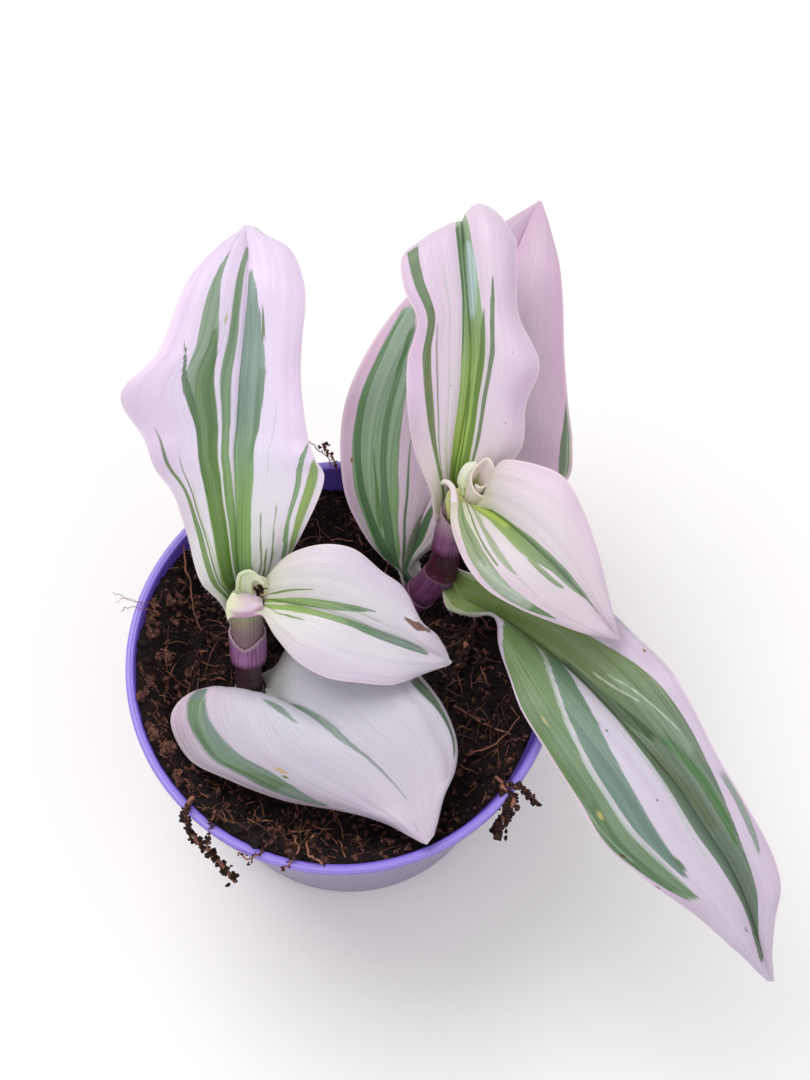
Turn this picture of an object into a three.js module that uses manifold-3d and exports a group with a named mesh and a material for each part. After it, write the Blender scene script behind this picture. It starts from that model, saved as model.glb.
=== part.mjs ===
// A small potted tradescantia: two leaning shoots with striped, waved leaves
// in a tapered plastic nursery pot filled with peat.
// Millimetres, +Z up. The origin is the centre of the pot's underside.
import * as THREE from 'three';
import { mergeVertices } from 'three/addons/utils/BufferGeometryUtils.js';
import Module from 'manifold-3d';

// Pot: a moulded shell with a turned-out lip and drain holes
const POT_HEIGHT = 56;
const RIM_RADIUS = 35;
const BASE_RADIUS = 26;
const WALL = 1.0;
const FLOOR = 1.5;
const LIP_HEIGHT = 4.2;
const LIP_OVERHANG = 1.3;
const LIP_FLARE = 0.5;
const RIM_BAND = 2.1;
const EDGE_ROUND = 0.6;
const POT_SEGMENTS = 60;
const DRAIN_HOLES = 6;
const DRAIN_RADIUS = 2.3;
const DRAIN_CIRCLE = 17;

// Soil: a tapered plug with a lumpy top, heaped against the near left wall
const GAP = 0.3;
const SOIL_TOP = 45.4;
const HEAP_RISE = 8;
const HEAP_ANGLE = THREE.MathUtils.degToRad(225);
const HEAP_START = 27;
const SOIL_RINGS = 13;
const SOIL_SECTORS = 48;
const CRUMBS = 70;
const CRUMB_SIZE = [1.3, 2.4];
const CRUMB_RISE = [0.3, 1.0];
const STEM_CLEARING = 7;
const SEED = 41;

// Shoots: each stem is a curve from deep in the soil to the last node
const STEM_SIDES = 14;
const STEM_STEPS = 14;
const SHEATH_WALL = 0.6;
const SHEATH_STEPS = 4;

const SHOOTS = {
  left: {
    path: [[-15, -9, 32], [-15.4, -4, 46], [-15.2, 1.5, 55.5], [-15, 6.5, 64], [-14.5, 7.7, 66.4]],
    radius: [2.0, 1.5],
  },
  right: {
    path: [[8.5, 13.5, 34], [10.5, 13.5, 45], [13.5, 14, 50.5], [16, 15.5, 55], [17, 18, 60],
      [17.6, 20.6, 65], [18.8, 22.4, 70.3]],
    radius: [1.9, 1.2],
  },
};

// Blades: thin sheets lofted along stations from the leaf's base to its tip.
// Each station lists points across the blade, from one margin over the rib to the other.
const BLADE_THICKNESS = 0.8;
const BASE_CHANNEL = -0.9;
const CHANNEL_END = 0.22;
const CROWN_FADE = 0.85;
const ACROSS = 6;
const STEPS_PER_STATION = 2;

const LEAVES = {
  left_leaf_low: {
    shoot: 'left', sheath: [47.6, 50.2], ribColumn: 2, crown: [0, 1.2], color: 0xc9c4cf,
    stations: [
      [[-13.5, -0.5, 49.5], [-13, -2, 50], [-12.5, -3.5, 50.5], [-13.5, -5, 51]],
      [[-11, 0.5, 50.5], [-10.5, -1.5, 54], [-10.5, -6, 53], [-16.5, -5, 52.5]],
      [[-8.5, 4.5, 52], [-7, 0.5, 58], [-8.5, -7.5, 55.5], [-22, -4.5, 53.5]],
      [[-2, 7, 53], [-1, 0.5, 60.5], [-5.5, -9.5, 57.5], [-26, -6, 53.5]],
      [[5, 4.5, 54], [6, -1.5, 61.5], [-1.5, -12.5, 59], [-27.5, -9.5, 52.5]],
      [[11.5, -1.5, 55], [11.5, -7, 61.5], [1.5, -15.5, 59.5], [-24.5, -15.5, 52]],
      [[16, -7.5, 55.5], [15, -11, 61.5], [4.5, -18, 59.5], [-18, -19, 52]],
      [[18.5, -14, 55.5], [17.5, -16, 61], [8, -21.5, 59], [-9, -22.5, 52.5]],
      [[18.5, -18.5, 56.5], [18, -20, 60.5], [10.5, -25.5, 58.5], [0, -24.5, 53.5]],
      [[17, -23.5, 57.5], [16.5, -24.5, 60], [12, -28.5, 58.5], [7, -27, 56]],
      [[14.6, -29.4, 58.2], [14.2, -30, 58.4], [13.5, -31, 58.4], [12.6, -30.6, 58]],
    ],
  },
  left_leaf_tall: {
    shoot: 'left', sheath: [51.5, 57.3], ribColumn: 1, crown: [1, 1], color: 0xb9c4ae,
    stations: [
      [[-17.5, 3.5, 57], [-15, 5, 56], [-13, 3.5, 57]],
      [[-18.9, 6.5, 62.8], [-16, 10, 60.5], [-12.3, 9.5, 63]],
      [[-22, 9, 66.5], [-16.5, 12.5, 66], [-9, 12, 67]],
      [[-24, 15, 71], [-16.5, 18.5, 72], [-6, 15.5, 71.5]],
      [[-26, 20.5, 75.5], [-16.5, 23.5, 75.5], [-2.5, 23, 76.5]],
      [[-28.5, 23, 79], [-16.5, 27, 77.5], [-4, 25.5, 78]],
      [[-30, 26.5, 82.5], [-16, 30.5, 79], [-5, 28.5, 79]],
      [[-32.5, 31, 88], [-15.5, 36.5, 82.5], [-6, 35, 81]],
      [[-27.5, 38, 89.5], [-15, 43, 85], [-6, 43, 84]],
      [[-24, 48, 91], [-14.5, 50.5, 88], [-5.5, 50.5, 87]],
      [[-20.5, 54.5, 90], [-14.5, 56, 88], [-8, 57.5, 86]],
      [[-17, 59, 87.5], [-15, 59.5, 87], [-12, 60.5, 86]],
      [[-15.5, 62.5, 85.5], [-15, 62.5, 85.5], [-14.5, 62.5, 85.5]],
    ],
  },
  left_leaf_front: {
    shoot: 'left', sheath: [61.3, 64.9], ribColumn: 1, crown: [1.2, 0.8], color: 0xd9d0d8,
    stations: [
      [[-12.8, 8, 64], [-12.4, 6.5, 64.5], [-14.2, 4.4, 65.4]],
      [[-11, 9.5, 69.5], [-11.5, 6, 67], [-12, 3, 67.5]],
      [[-8, 11.5, 72], [-8, 5, 68], [-10, -0.5, 68]],
      [[-3, 12.5, 74], [-3.5, 3.5, 69.5], [-6.5, -4.5, 68]],
      [[2, 12, 73.5], [1.5, 2, 69.5], [-2, -7, 67.5]],
      [[6.5, 9, 71.5], [5.5, 0.5, 68.5], [3, -7.5, 66.5]],
      [[10, 7, 69], [9.5, -0.5, 67], [8, -7.5, 65.5]],
      [[12.5, 2.5, 66.5], [13, -1.5, 65], [12, -5.5, 63.5]],
      [[15, 1, 63.5], [15.5, -2, 63], [15, -4, 62.5]],
      [[17, -2, 61.5], [17.5, -2.5, 61.5], [17, -3, 61.5]],
    ],
  },
  right_leaf_back: {
    shoot: 'right', sheath: [47.2, 49], ribColumn: 1, crown: [1.5, 1.2], color: 0xaea8b4,
    stations: [
      [[10, 15, 48.5], [11.2, 16, 48.3], [13.5, 16.5, 49]],
      [[9, 17, 51], [10, 17.5, 50.5], [12.5, 19, 51]],
      [[6.5, 18.5, 53], [11.5, 21, 52.4], [16, 21, 54]],
      [[3.5, 21.5, 55.5], [13, 25, 55.8], [22, 23.5, 57.8]],
      [[0.5, 26.5, 59], [15.5, 30.5, 58.4], [29, 26, 59.4]],
      [[-0.5, 33, 62], [17, 36.5, 60.8], [35, 29, 61.3]],
      [[0, 40, 65], [19.5, 42.7, 63], [37.5, 34.3, 63.4]],
      [[2.5, 47, 66.5], [22, 49.5, 64], [37, 42, 64]],
      [[7, 55, 67.5], [24.5, 56.5, 65.5], [36.5, 50.5, 65.5]],
      [[12.5, 61.5, 68], [26.5, 63, 66.5], [36.5, 59, 67]],
      [[19, 67, 68.5], [29, 69, 67.5], [36, 65, 68]],
      [[26, 72.5, 68.5], [31, 74, 67.5], [35, 71, 68]],
      [[32.5, 78, 67], [33, 78.5, 67], [33.5, 78, 67]],
    ],
  },
  right_leaf_long: {
    shoot: 'right', sheath: [50.4, 54.4], ribColumn: 1, crown: [1.6, 1.6], color: 0x9fb08f,
    stations: [
      [[17, 17.4, 54.2], [17.7, 14.7, 53.8], [16.2, 12.9, 53.5]],
      [[20.5, 14, 58], [19.5, 11, 54.5], [17, 9.5, 53.5]],
      [[27, 12, 62], [22.5, 9, 55.5], [21, 7.5, 55]],
      [[34.5, 8.5, 65], [26.5, 5.5, 57.5], [24.5, 6, 59.5]],
      [[40.5, 5.5, 67], [31.5, 1, 59.5], [25, 1.5, 60]],
      [[46.5, -1, 68.5], [37, -4.5, 61], [26.5, -4.5, 60.5]],
      [[51, -6, 68.5], [42, -10.5, 62], [28.5, -10.5, 61]],
      [[54, -11.5, 68], [47, -16.5, 62.5], [32, -17, 61.5]],
      [[57.5, -19, 67], [52.5, -23.5, 62], [36.5, -24.5, 61]],
      [[61.5, -26, 65.5], [56, -29, 61], [40, -30.5, 60]],
      [[65, -32, 63.5], [59.5, -34, 59.5], [45, -35, 58.5]],
      [[67, -37.5, 61], [62, -38.5, 57.5], [52.5, -40, 56.5]],
      [[66.5, -42.5, 57], [64, -43, 54.5], [59, -44.5, 53.5]],
      [[66.5, -47, 52], [65.5, -47, 51.5], [63.5, -48, 50.5]],
      [[67.5, -50, 47.5], [67, -50, 47.5], [66.5, -50, 47.5]],
    ],
  },
  right_leaf_upright: {
    shoot: 'right', sheath: [59, 64.3], ribColumn: 1, crown: [0.8, 3.2], color: 0xc9bfc4,
    stations: [
      [[15.4, 20, 63.8], [17.4, 22.2, 63], [19.6, 20.3, 63.8]],
      [[14.9, 19.8, 66.5], [18, 24.9, 65.6], [21.5, 24.4, 66.8]],
      [[14, 23.5, 70], [18, 27, 69.5], [25.5, 26, 70.3]],
      [[11.5, 28.5, 74.5], [19, 31, 74], [28.5, 29, 75]],
      [[10.5, 34, 79], [20, 36, 78], [29, 34, 79]],
      [[10.5, 40, 83], [20.5, 42, 82], [31, 39, 83]],
      [[12, 45, 86], [20, 48, 85.5], [28, 47, 84]],
      [[10, 49.5, 88.5], [19.5, 54, 88], [27.5, 52.5, 87]],
      [[9.5, 54, 89], [19, 60, 89], [27.5, 58.5, 88]],
      [[11.5, 57, 86.5], [19.5, 63, 86], [26.5, 61.5, 86]],
      [[14, 58.5, 82], [20.5, 64.5, 81.5], [25.5, 63.5, 81.5]],
      [[16.5, 58.5, 77], [21, 63, 76.5], [24.5, 62.5, 76.5]],
      [[20.5, 60, 71.5], [21, 60.5, 71.5], [22, 60.5, 71.5]],
    ],
  },
  right_leaf_small: {
    shoot: 'right', sheath: [68, 69.8], ribColumn: 1, crown: [1, 0.8], color: 0xdccfd2,
    stations: [
      [[19.9, 23.3, 69.1], [20.6, 21.3, 69], [18.5, 19.9, 69.3]],
      [[24, 23.7, 74], [21.5, 20, 71], [17.5, 20.5, 72.5]],
      [[25, 25, 77.5], [24, 18, 73.5], [17.5, 15, 73.5]],
      [[30, 24, 79], [27.5, 14, 75.5], [19.5, 9, 74.5]],
      [[34.5, 21.5, 79.5], [31, 10, 76.5], [22.5, 5, 74.5]],
      [[37.5, 16, 79], [33.5, 7.5, 76.5], [27.5, 2, 74]],
      [[39.5, 10, 77.5], [36.5, 4.5, 75.5], [33, 0, 73]],
      [[41, 4.5, 75.5], [39, 2, 74], [37.5, -1.5, 72.5]],
      [[42, 0.5, 73], [41, 0, 72.5], [40.5, -2, 72]],
      [[43, -1.5, 71], [43, -2, 71], [42.5, -2, 71]],
    ],
  },
};

// Young leaves at the shoot tips: one bent like a hood, one rolled like a scroll
const HOOD_THICKNESS = 0.7;
const HOOD_STATIONS = [
  [[-16.5, 6.6, 67.4], [-15.6, 7.4, 67.4], [-14.6, 6.6, 67.4]],
  [[-16.3, 6.9, 70], [-15.4, 7.4, 70.1], [-14.3, 6.9, 70]],
  [[-15.7, 8.4, 72.2], [-14.9, 8.2, 71.9], [-14.3, 7.6, 71.2]],
  [[-13.6, 8.5, 73], [-13.4, 8.2, 72.5], [-13.2, 7.7, 71.8]],
  [[-12.2, 7.4, 71.6], [-12.2, 7.2, 71.4], [-12.2, 7, 71.2]],
];
const SCROLL_PATH = [[18.9, 22.9, 70.9], [19.8, 23.6, 73], [21.8, 24.5, 77.2]];
const SCROLL_RADIUS = [1.1, 1.8];
const SCROLL_MOUTH_DEPTH = 3;
const SCROLL_MOUTH_RADIUS = [0.4, 1.1];

const COLORS = { pot: 0x7a68c6, soil: 0x2a211d, stem: 0x4a3040, hood: 0xd5d9a8, scroll: 0xd9d2b0 };

const wasm = await Module();
wasm.setup();

// Small helpers
function seededRandom(seed) {
  let state = seed;
  return () => {
    state = (state * 1664525 + 1013904223) % 4294967296;
    return state / 4294967296;
  };
}

function between([low, high], t) {
  return low + (high - low) * t;
}

function curveThrough(points) {
  return new THREE.CatmullRomCurve3(points.map((p) => new THREE.Vector3(...p)));
}

function toManifold(geometry) {
  const bare = geometry.clone();
  bare.deleteAttribute('normal');
  bare.deleteAttribute('uv');
  const merged = mergeVertices(bare, 1e-4);
  return new wasm.Manifold(new wasm.Mesh({
    numProp: 3,
    vertProperties: new Float32Array(merged.attributes.position.array),
    triVerts: new Uint32Array(merged.index.array),
  }));
}

function fromManifold(solid) {
  const mesh = solid.getMesh();
  const geometry = new THREE.BufferGeometry();
  geometry.setAttribute('position', new THREE.BufferAttribute(mesh.vertProperties, 3));
  geometry.setIndex(new THREE.BufferAttribute(mesh.triVerts, 1));
  return geometry;
}

function indexedGeometry(points, triangles) {
  const geometry = new THREE.BufferGeometry();
  geometry.setFromPoints(points);
  geometry.setIndex(triangles);
  return geometry;
}

// A closed skin over rings of points, with a fan of triangles at each end
function loft(rings, firstCentre, lastCentre) {
  const sides = rings[0].length;
  const points = [...rings.flat(), firstCentre, lastCentre];
  const first = points.length - 2;
  const last = points.length - 1;
  const lastRing = (rings.length - 1) * sides;
  const triangles = [];
  for (let side = 0; side < sides; side += 1) {
    const next = (side + 1) % sides;
    for (let ring = 0; ring < rings.length - 1; ring += 1) {
      const low = ring * sides;
      const high = low + sides;
      triangles.push(low + side, low + next, high + next);
      triangles.push(low + side, high + next, high + side);
    }
    triangles.push(first, next, side);
    triangles.push(last, lastRing + side, lastRing + next);
  }
  return indexedGeometry(points, triangles);
}

// A round tube of changing radius along a curve, closed at both ends
function tube(curve, radiusAt, steps, sides) {
  const rings = [];
  for (let step = 0; step <= steps; step += 1) {
    const t = step / steps;
    const centre = curve.getPoint(t);
    const along = curve.getTangent(t);
    const side = new THREE.Vector3(1, 0, 0).addScaledVector(along, -along.x).normalize();
    const front = along.clone().cross(side);
    const ring = [];
    for (let corner = 0; corner < sides; corner += 1) {
      const angle = (2 * Math.PI * corner) / sides;
      const point = centre.clone();
      point.addScaledVector(side, radiusAt(t) * Math.cos(angle));
      point.addScaledVector(front, radiusAt(t) * Math.sin(angle));
      ring.push(point);
    }
    rings.push(ring);
  }
  return loft(rings, curve.getPoint(0), curve.getPoint(1));
}

// Pot
function potGeometry() {
  const wallTop = POT_HEIGHT - LIP_HEIGHT;
  const lipRadius = RIM_RADIUS - LIP_FLARE;
  const profile = [
    [0, 0],
    [BASE_RADIUS - EDGE_ROUND, 0],
    [BASE_RADIUS, EDGE_ROUND],
    [lipRadius - LIP_OVERHANG, wallTop],
    [lipRadius, wallTop],
    [RIM_RADIUS, POT_HEIGHT - EDGE_ROUND],
    [RIM_RADIUS - EDGE_ROUND, POT_HEIGHT],
    [RIM_RADIUS - RIM_BAND, POT_HEIGHT],
    [BASE_RADIUS - WALL, FLOOR],
    [0, FLOOR],
  ].map(([x, y]) => new THREE.Vector2(x, y));
  const shell = new THREE.LatheGeometry(profile, POT_SEGMENTS).rotateX(Math.PI / 2);
  let solid = toManifold(shell);
  for (let hole = 0; hole < DRAIN_HOLES; hole += 1) {
    const angle = (2 * Math.PI * hole) / DRAIN_HOLES;
    const drill = new THREE.CylinderGeometry(DRAIN_RADIUS, DRAIN_RADIUS, 4 * FLOOR, 16);
    drill.rotateX(Math.PI / 2);
    drill.translate(DRAIN_CIRCLE * Math.cos(angle), DRAIN_CIRCLE * Math.sin(angle), FLOOR / 2);
    solid = solid.subtract(toManifold(drill));
  }
  return fromManifold(solid);
}

// Soil
function innerWallRadius(z) {
  const slope = (RIM_RADIUS - RIM_BAND - BASE_RADIUS + WALL) / (POT_HEIGHT - FLOOR);
  return BASE_RADIUS - WALL + slope * (z - FLOOR);
}

function makeCrumbs() {
  const random = seededRandom(SEED);
  const crumbs = [];
  for (let index = 0; index < CRUMBS; index += 1) {
    const distance = innerWallRadius(SOIL_TOP) * Math.sqrt(random());
    const angle = 2 * Math.PI * random();
    crumbs.push({
      x: distance * Math.cos(angle),
      y: distance * Math.sin(angle),
      size: between(CRUMB_SIZE, random()),
      rise: between(CRUMB_RISE, random()),
    });
  }
  return crumbs;
}

function soilHeight(x, y, crumbs, stemFeet) {
  const distance = Math.hypot(x, y);
  const towardsHeap = 0.5 + 0.5 * Math.cos(Math.atan2(y, x) - HEAP_ANGLE);
  const wallRise = THREE.MathUtils.smoothstep(distance, HEAP_START, innerWallRadius(SOIL_TOP));
  let lumps = 0;
  for (const crumb of crumbs) {
    const away = Math.hypot(x - crumb.x, y - crumb.y) / crumb.size;
    lumps += crumb.rise * Math.exp(-away * away);
  }
  for (const foot of stemFeet) {
    const away = Math.hypot(x - foot.x, y - foot.y);
    lumps *= THREE.MathUtils.smoothstep(away, 0, STEM_CLEARING);
  }
  return SOIL_TOP + HEAP_RISE * towardsHeap * wallRise + lumps;
}

function soilGeometry(clearances) {
  const crumbs = makeCrumbs();
  const stemFeet = Object.values(SHOOTS).map(({ path }) => new THREE.Vector2(path[1][0], path[1][1]));
  const bottom = FLOOR + GAP;
  const rings = [[], []];
  const bottomRadii = [innerWallRadius(bottom) / 2, innerWallRadius(bottom) - GAP];
  for (let sector = 0; sector < SOIL_SECTORS; sector += 1) {
    const angle = (2 * Math.PI * sector) / SOIL_SECTORS;
    const cos = Math.cos(angle);
    const sin = Math.sin(angle);
    bottomRadii.forEach((radius, ring) => {
      rings[ring].push(new THREE.Vector3(radius * cos, radius * sin, bottom));
    });
    const edge = innerWallRadius(SOIL_TOP) - GAP;
    for (let ring = SOIL_RINGS; ring >= 1; ring -= 1) {
      const radius = (edge * ring) / SOIL_RINGS;
      const row = SOIL_RINGS - ring + bottomRadii.length;
      rings[row] ??= [];
      const z = soilHeight(radius * cos, radius * sin, crumbs, stemFeet);
      const reach = ring === SOIL_RINGS ? innerWallRadius(z) - GAP : radius;
      rings[row].push(new THREE.Vector3(reach * cos, reach * sin, z));
    }
  }
  const top = new THREE.Vector3(0, 0, soilHeight(0, 0, crumbs, stemFeet));
  let solid = toManifold(loft(rings, new THREE.Vector3(0, 0, bottom), top));
  for (const clearance of clearances) {
    solid = solid.subtract(clearance);
  }
  return fromManifold(solid);
}

// Stems and the tubes of leaf base that wrap them
function stemRadiusAt(shoot) {
  return (t) => between(shoot.radius, t);
}

function stemGeometry(shoot) {
  return tube(curveThrough(shoot.path), stemRadiusAt(shoot), STEM_STEPS, STEM_SIDES);
}

function stemClearance(shoot) {
  const radiusAt = (t) => stemRadiusAt(shoot)(t) + GAP;
  const curve = curveThrough(shoot.path);
  const extended = [...shoot.path];
  const foot = curve.getPoint(0).addScaledVector(curve.getTangent(0), -GAP);
  const head = curve.getPoint(1).addScaledVector(curve.getTangent(1), GAP);
  extended[0] = foot.toArray();
  extended[extended.length - 1] = head.toArray();
  return toManifold(tube(curveThrough(extended), radiusAt, STEM_STEPS, STEM_SIDES));
}

function parameterAtHeight(curve, z) {
  let low = 0;
  let high = 1;
  for (let halving = 0; halving < 30; halving += 1) {
    const middle = (low + high) / 2;
    if (curve.getPoint(middle).z < z) {
      low = middle;
    } else {
      high = middle;
    }
  }
  return low;
}

function sheathSolid(shoot, heights) {
  const curve = curveThrough(shoot.path);
  const range = heights.map((z) => parameterAtHeight(curve, z));
  const points = [0, 1, 2, 3].map((step) => curve.getPoint(between(range, step / 3)).toArray());
  const radiusAt = (t) => stemRadiusAt(shoot)(between(range, t)) + GAP + SHEATH_WALL;
  return toManifold(tube(curveThrough(points), radiusAt, SHEATH_STEPS, STEM_SIDES));
}

// Blades
function crownAt(v, crown) {
  const rise = THREE.MathUtils.smoothstep(v, 0, CHANNEL_END);
  const fade = 1 - THREE.MathUtils.smoothstep(v, CROWN_FADE, 1);
  return between([BASE_CHANNEL, crown], rise) * fade;
}

function bladePoint(leaf, u, v) {
  const columns = leaf.stations[0].map((_, column) => (
    curveThrough(leaf.stations.map((station) => station[column]))
  ));
  const across = columns.map((curve) => curve.getPoint(v));
  const half = u < 0 ? across.slice(0, leaf.ribColumn + 1).reverse() : across.slice(leaf.ribColumn);
  const side = Math.abs(u);
  const point = new THREE.CatmullRomCurve3(half).getPoint(side);
  const along = columns[leaf.ribColumn].getTangent(v);
  const span = across[across.length - 1].clone().sub(across[0]);
  const normal = span.cross(along).normalize();
  const crown = crownAt(v, u < 0 ? leaf.crown[0] : leaf.crown[1]);
  return point.addScaledVector(normal, crown * 4 * side * (1 - side));
}

function bladeGeometry(leaf, thickness) {
  const steps = (leaf.stations.length - 1) * STEPS_PER_STATION;
  const sheet = [];
  for (let step = 0; step <= steps; step += 1) {
    for (let column = 0; column <= ACROSS; column += 1) {
      sheet.push(bladePoint(leaf, (2 * column) / ACROSS - 1, step / steps));
    }
  }
  const width = ACROSS + 1;
  const upper = [];
  for (let step = 0; step < steps; step += 1) {
    for (let column = 0; column < ACROSS; column += 1) {
      const corner = step * width + column;
      upper.push(corner, corner + 1, corner + width + 1);
      upper.push(corner, corner + width + 1, corner + width);
    }
  }
  const skin = indexedGeometry(sheet, upper);
  skin.computeVertexNormals();
  const normals = skin.attributes.normal;
  const points = [];
  for (const side of [0.5, -0.5]) {
    sheet.forEach((point, index) => {
      const normal = new THREE.Vector3().fromBufferAttribute(normals, index);
      points.push(point.clone().addScaledVector(normal, side * thickness));
    });
  }
  const lower = [];
  for (let index = 0; index < upper.length; index += 3) {
    lower.push(upper[index] + sheet.length, upper[index + 2] + sheet.length, upper[index + 1] + sheet.length);
  }
  const border = [];
  for (let column = 0; column < ACROSS; column += 1) {
    border.push(column);
  }
  for (let step = 0; step < steps; step += 1) {
    border.push(step * width + ACROSS);
  }
  for (let column = ACROSS; column > 0; column -= 1) {
    border.push(steps * width + column);
  }
  for (let step = steps; step > 0; step -= 1) {
    border.push(step * width);
  }
  const edge = [];
  border.forEach((corner, index) => {
    const next = border[(index + 1) % border.length];
    edge.push(corner, corner + sheet.length, next + sheet.length);
    edge.push(corner, next + sheet.length, next);
  });
  return indexedGeometry(points, [...upper, ...lower, ...edge]);
}

function leafGeometry(leaf, clearance) {
  const blade = toManifold(bladeGeometry(leaf, BLADE_THICKNESS));
  const sheath = sheathSolid(SHOOTS[leaf.shoot], leaf.sheath);
  return fromManifold(sheath.add(blade).subtract(clearance));
}

// Young leaves
function hoodGeometry() {
  return bladeGeometry({ stations: HOOD_STATIONS, ribColumn: 1, crown: [0, 0] }, HOOD_THICKNESS);
}

function scrollGeometry() {
  const curve = curveThrough(SCROLL_PATH);
  const body = tube(curve, (t) => between(SCROLL_RADIUS, t), 6, STEM_SIDES);
  const end = curve.getPoint(1);
  const out = curve.getTangent(1);
  const mouthLine = curveThrough([
    end.clone().addScaledVector(out, -SCROLL_MOUTH_DEPTH).toArray(),
    end.clone().addScaledVector(out, GAP).toArray(),
  ]);
  const mouth = tube(mouthLine, (t) => between(SCROLL_MOUTH_RADIUS, t), 1, STEM_SIDES);
  return fromManifold(toManifold(body).subtract(toManifold(mouth)));
}

// Assembly
const plant = new THREE.Group();
plant.name = 'potted_tradescantia';

function addPiece(name, geometry, color, roughness) {
  const material = new THREE.MeshStandardMaterial({ color, roughness, metalness: 0 });
  const mesh = new THREE.Mesh(geometry, material);
  mesh.name = name;
  plant.add(mesh);
}

const clearances = Object.fromEntries(
  Object.entries(SHOOTS).map(([name, shoot]) => [name, stemClearance(shoot)]),
);

addPiece('pot', potGeometry(), COLORS.pot, 0.4);
addPiece('soil', soilGeometry(Object.values(clearances)), COLORS.soil, 0.95);
for (const [name, shoot] of Object.entries(SHOOTS)) {
  addPiece(`${name}_stem`, stemGeometry(shoot), COLORS.stem, 0.6);
}
for (const [name, leaf] of Object.entries(LEAVES)) {
  addPiece(name, leafGeometry(leaf, clearances[leaf.shoot]), leaf.color, 0.5);
}
addPiece('left_young_leaf', hoodGeometry(), COLORS.hood, 0.5);
addPiece('right_young_leaf', scrollGeometry(), COLORS.scroll, 0.5);

export default plant;
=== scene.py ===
# %% [markdown]
# # A potted tradescantia
# Two young shoots with waved, striped leaves grow in a violet nursery pot full of dark peat.
# The imported CAD model is the fixed frame, and it is loaded first. Nothing that is modelled
# here may leave it by more than a little.

# %% Load the frame
import math
import random

import bpy
import numpy as np
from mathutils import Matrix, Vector, noise


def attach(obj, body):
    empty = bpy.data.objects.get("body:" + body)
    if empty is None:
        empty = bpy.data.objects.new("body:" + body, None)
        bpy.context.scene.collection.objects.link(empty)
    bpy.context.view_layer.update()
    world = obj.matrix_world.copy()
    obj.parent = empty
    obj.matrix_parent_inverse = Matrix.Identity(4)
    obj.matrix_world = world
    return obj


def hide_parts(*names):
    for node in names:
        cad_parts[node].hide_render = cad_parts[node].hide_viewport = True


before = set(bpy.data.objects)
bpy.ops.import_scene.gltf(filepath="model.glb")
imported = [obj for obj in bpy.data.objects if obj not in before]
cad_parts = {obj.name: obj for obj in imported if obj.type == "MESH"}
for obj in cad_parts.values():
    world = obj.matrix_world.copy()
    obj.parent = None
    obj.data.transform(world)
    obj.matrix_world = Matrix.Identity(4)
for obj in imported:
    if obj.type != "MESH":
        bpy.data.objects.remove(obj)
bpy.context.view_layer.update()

MM = 0.001

# %% [markdown]
# ## Camera, light and floor
# The camera looks down steeply on the pot, as in the picture. The light is a plain soft studio
# light: one wide panel behind and to the left, a weaker one in front, and a pale surrounding.
# The floor is one wide sheet of pale board, which belongs to the stage and not to the plant.

# %% Camera
CAMERA_PLACE = (0.0101, -0.1029, 0.3615)
CAMERA_TILT = math.radians(22)
LENS = 66.67
SENSOR = 36
PICTURE_WIDTH = 810
PICTURE_HEIGHT = 1080


def set_camera():
    data = bpy.data.cameras.new("camera")
    data.sensor_width = SENSOR
    data.lens = LENS
    data.clip_start = 0.01
    camera = bpy.data.objects.new("camera", data)
    camera.location = CAMERA_PLACE
    camera.rotation_euler = (CAMERA_TILT, 0, 0)
    bpy.context.scene.collection.objects.link(camera)
    bpy.context.scene.camera = camera


set_camera()

# %% Lights
def add_panel(name, place, target, size, power, color=(1, 1, 1)):
    light = bpy.data.lights.new(name, "AREA")
    light.shape = "DISK"
    light.size = size
    light.energy = power
    light.color = color
    panel = bpy.data.objects.new(name, light)
    panel.location = place
    panel.rotation_euler = (Vector(target) - Vector(place)).to_track_quat("-Z", "Y").to_euler()
    bpy.context.scene.collection.objects.link(panel)


def light_the_room():
    world = bpy.data.worlds.new("pale room")
    world.use_nodes = True
    surround = world.node_tree.nodes["Background"]
    surround.inputs["Color"].default_value = (1.0, 0.985, 0.985, 1)
    surround.inputs["Strength"].default_value = 0.72
    bpy.context.scene.world = world
    bpy.context.scene.view_settings.view_transform = "Standard"
    add_panel("key panel", (-0.2, 0.24, 0.66), (0, 0, 0.06), 0.5, 2.6, (1.0, 0.985, 0.96))
    add_panel("fill panel", (0.35, -0.35, 0.5), (0, 0, 0.05), 0.6, 0.7, (0.97, 0.98, 1.0))


light_the_room()

# %% Floor
def deselect_all():
    if bpy.context.object and bpy.context.object.mode != "OBJECT":
        bpy.ops.object.mode_set(mode="OBJECT")
    bpy.ops.object.select_all(action="DESELECT")


def lay_floor():
    deselect_all()
    bpy.ops.mesh.primitive_plane_add(size=6, location=(0, 0, -0.0002))
    floor = bpy.context.object
    floor.name = "floor"
    return floor


floor = lay_floor()

# %% [markdown]
# ## Small helpers for node materials
# Colours are written as on a paint chart and turned into the linear values that Blender mixes.
# `put` adds a node with its settings, and `connect` fills its sockets with values or links.

# %% Node helpers
def paint(code):
    parts = [int(code[k:k + 2], 16) / 255 for k in (1, 3, 5)]
    linear = [p / 12.92 if p <= 0.04045 else ((p + 0.055) / 1.055) ** 2.4 for p in parts]
    return (*linear, 1)


def connect(tree, node, inputs):
    for name, value in inputs.items():
        if hasattr(value, "is_output"):
            tree.links.new(value, node.inputs[name])
        else:
            node.inputs[name].default_value = value


def put(tree, kind, inputs=None, **settings):
    node = tree.nodes.new(kind)
    for name, value in settings.items():
        setattr(node, name, value)
    connect(tree, node, inputs or {})
    return node


def calc(tree, operation, first, second=0.0):
    return put(tree, "ShaderNodeMath", {0: first, 1: second}, operation=operation).outputs[0]


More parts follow.
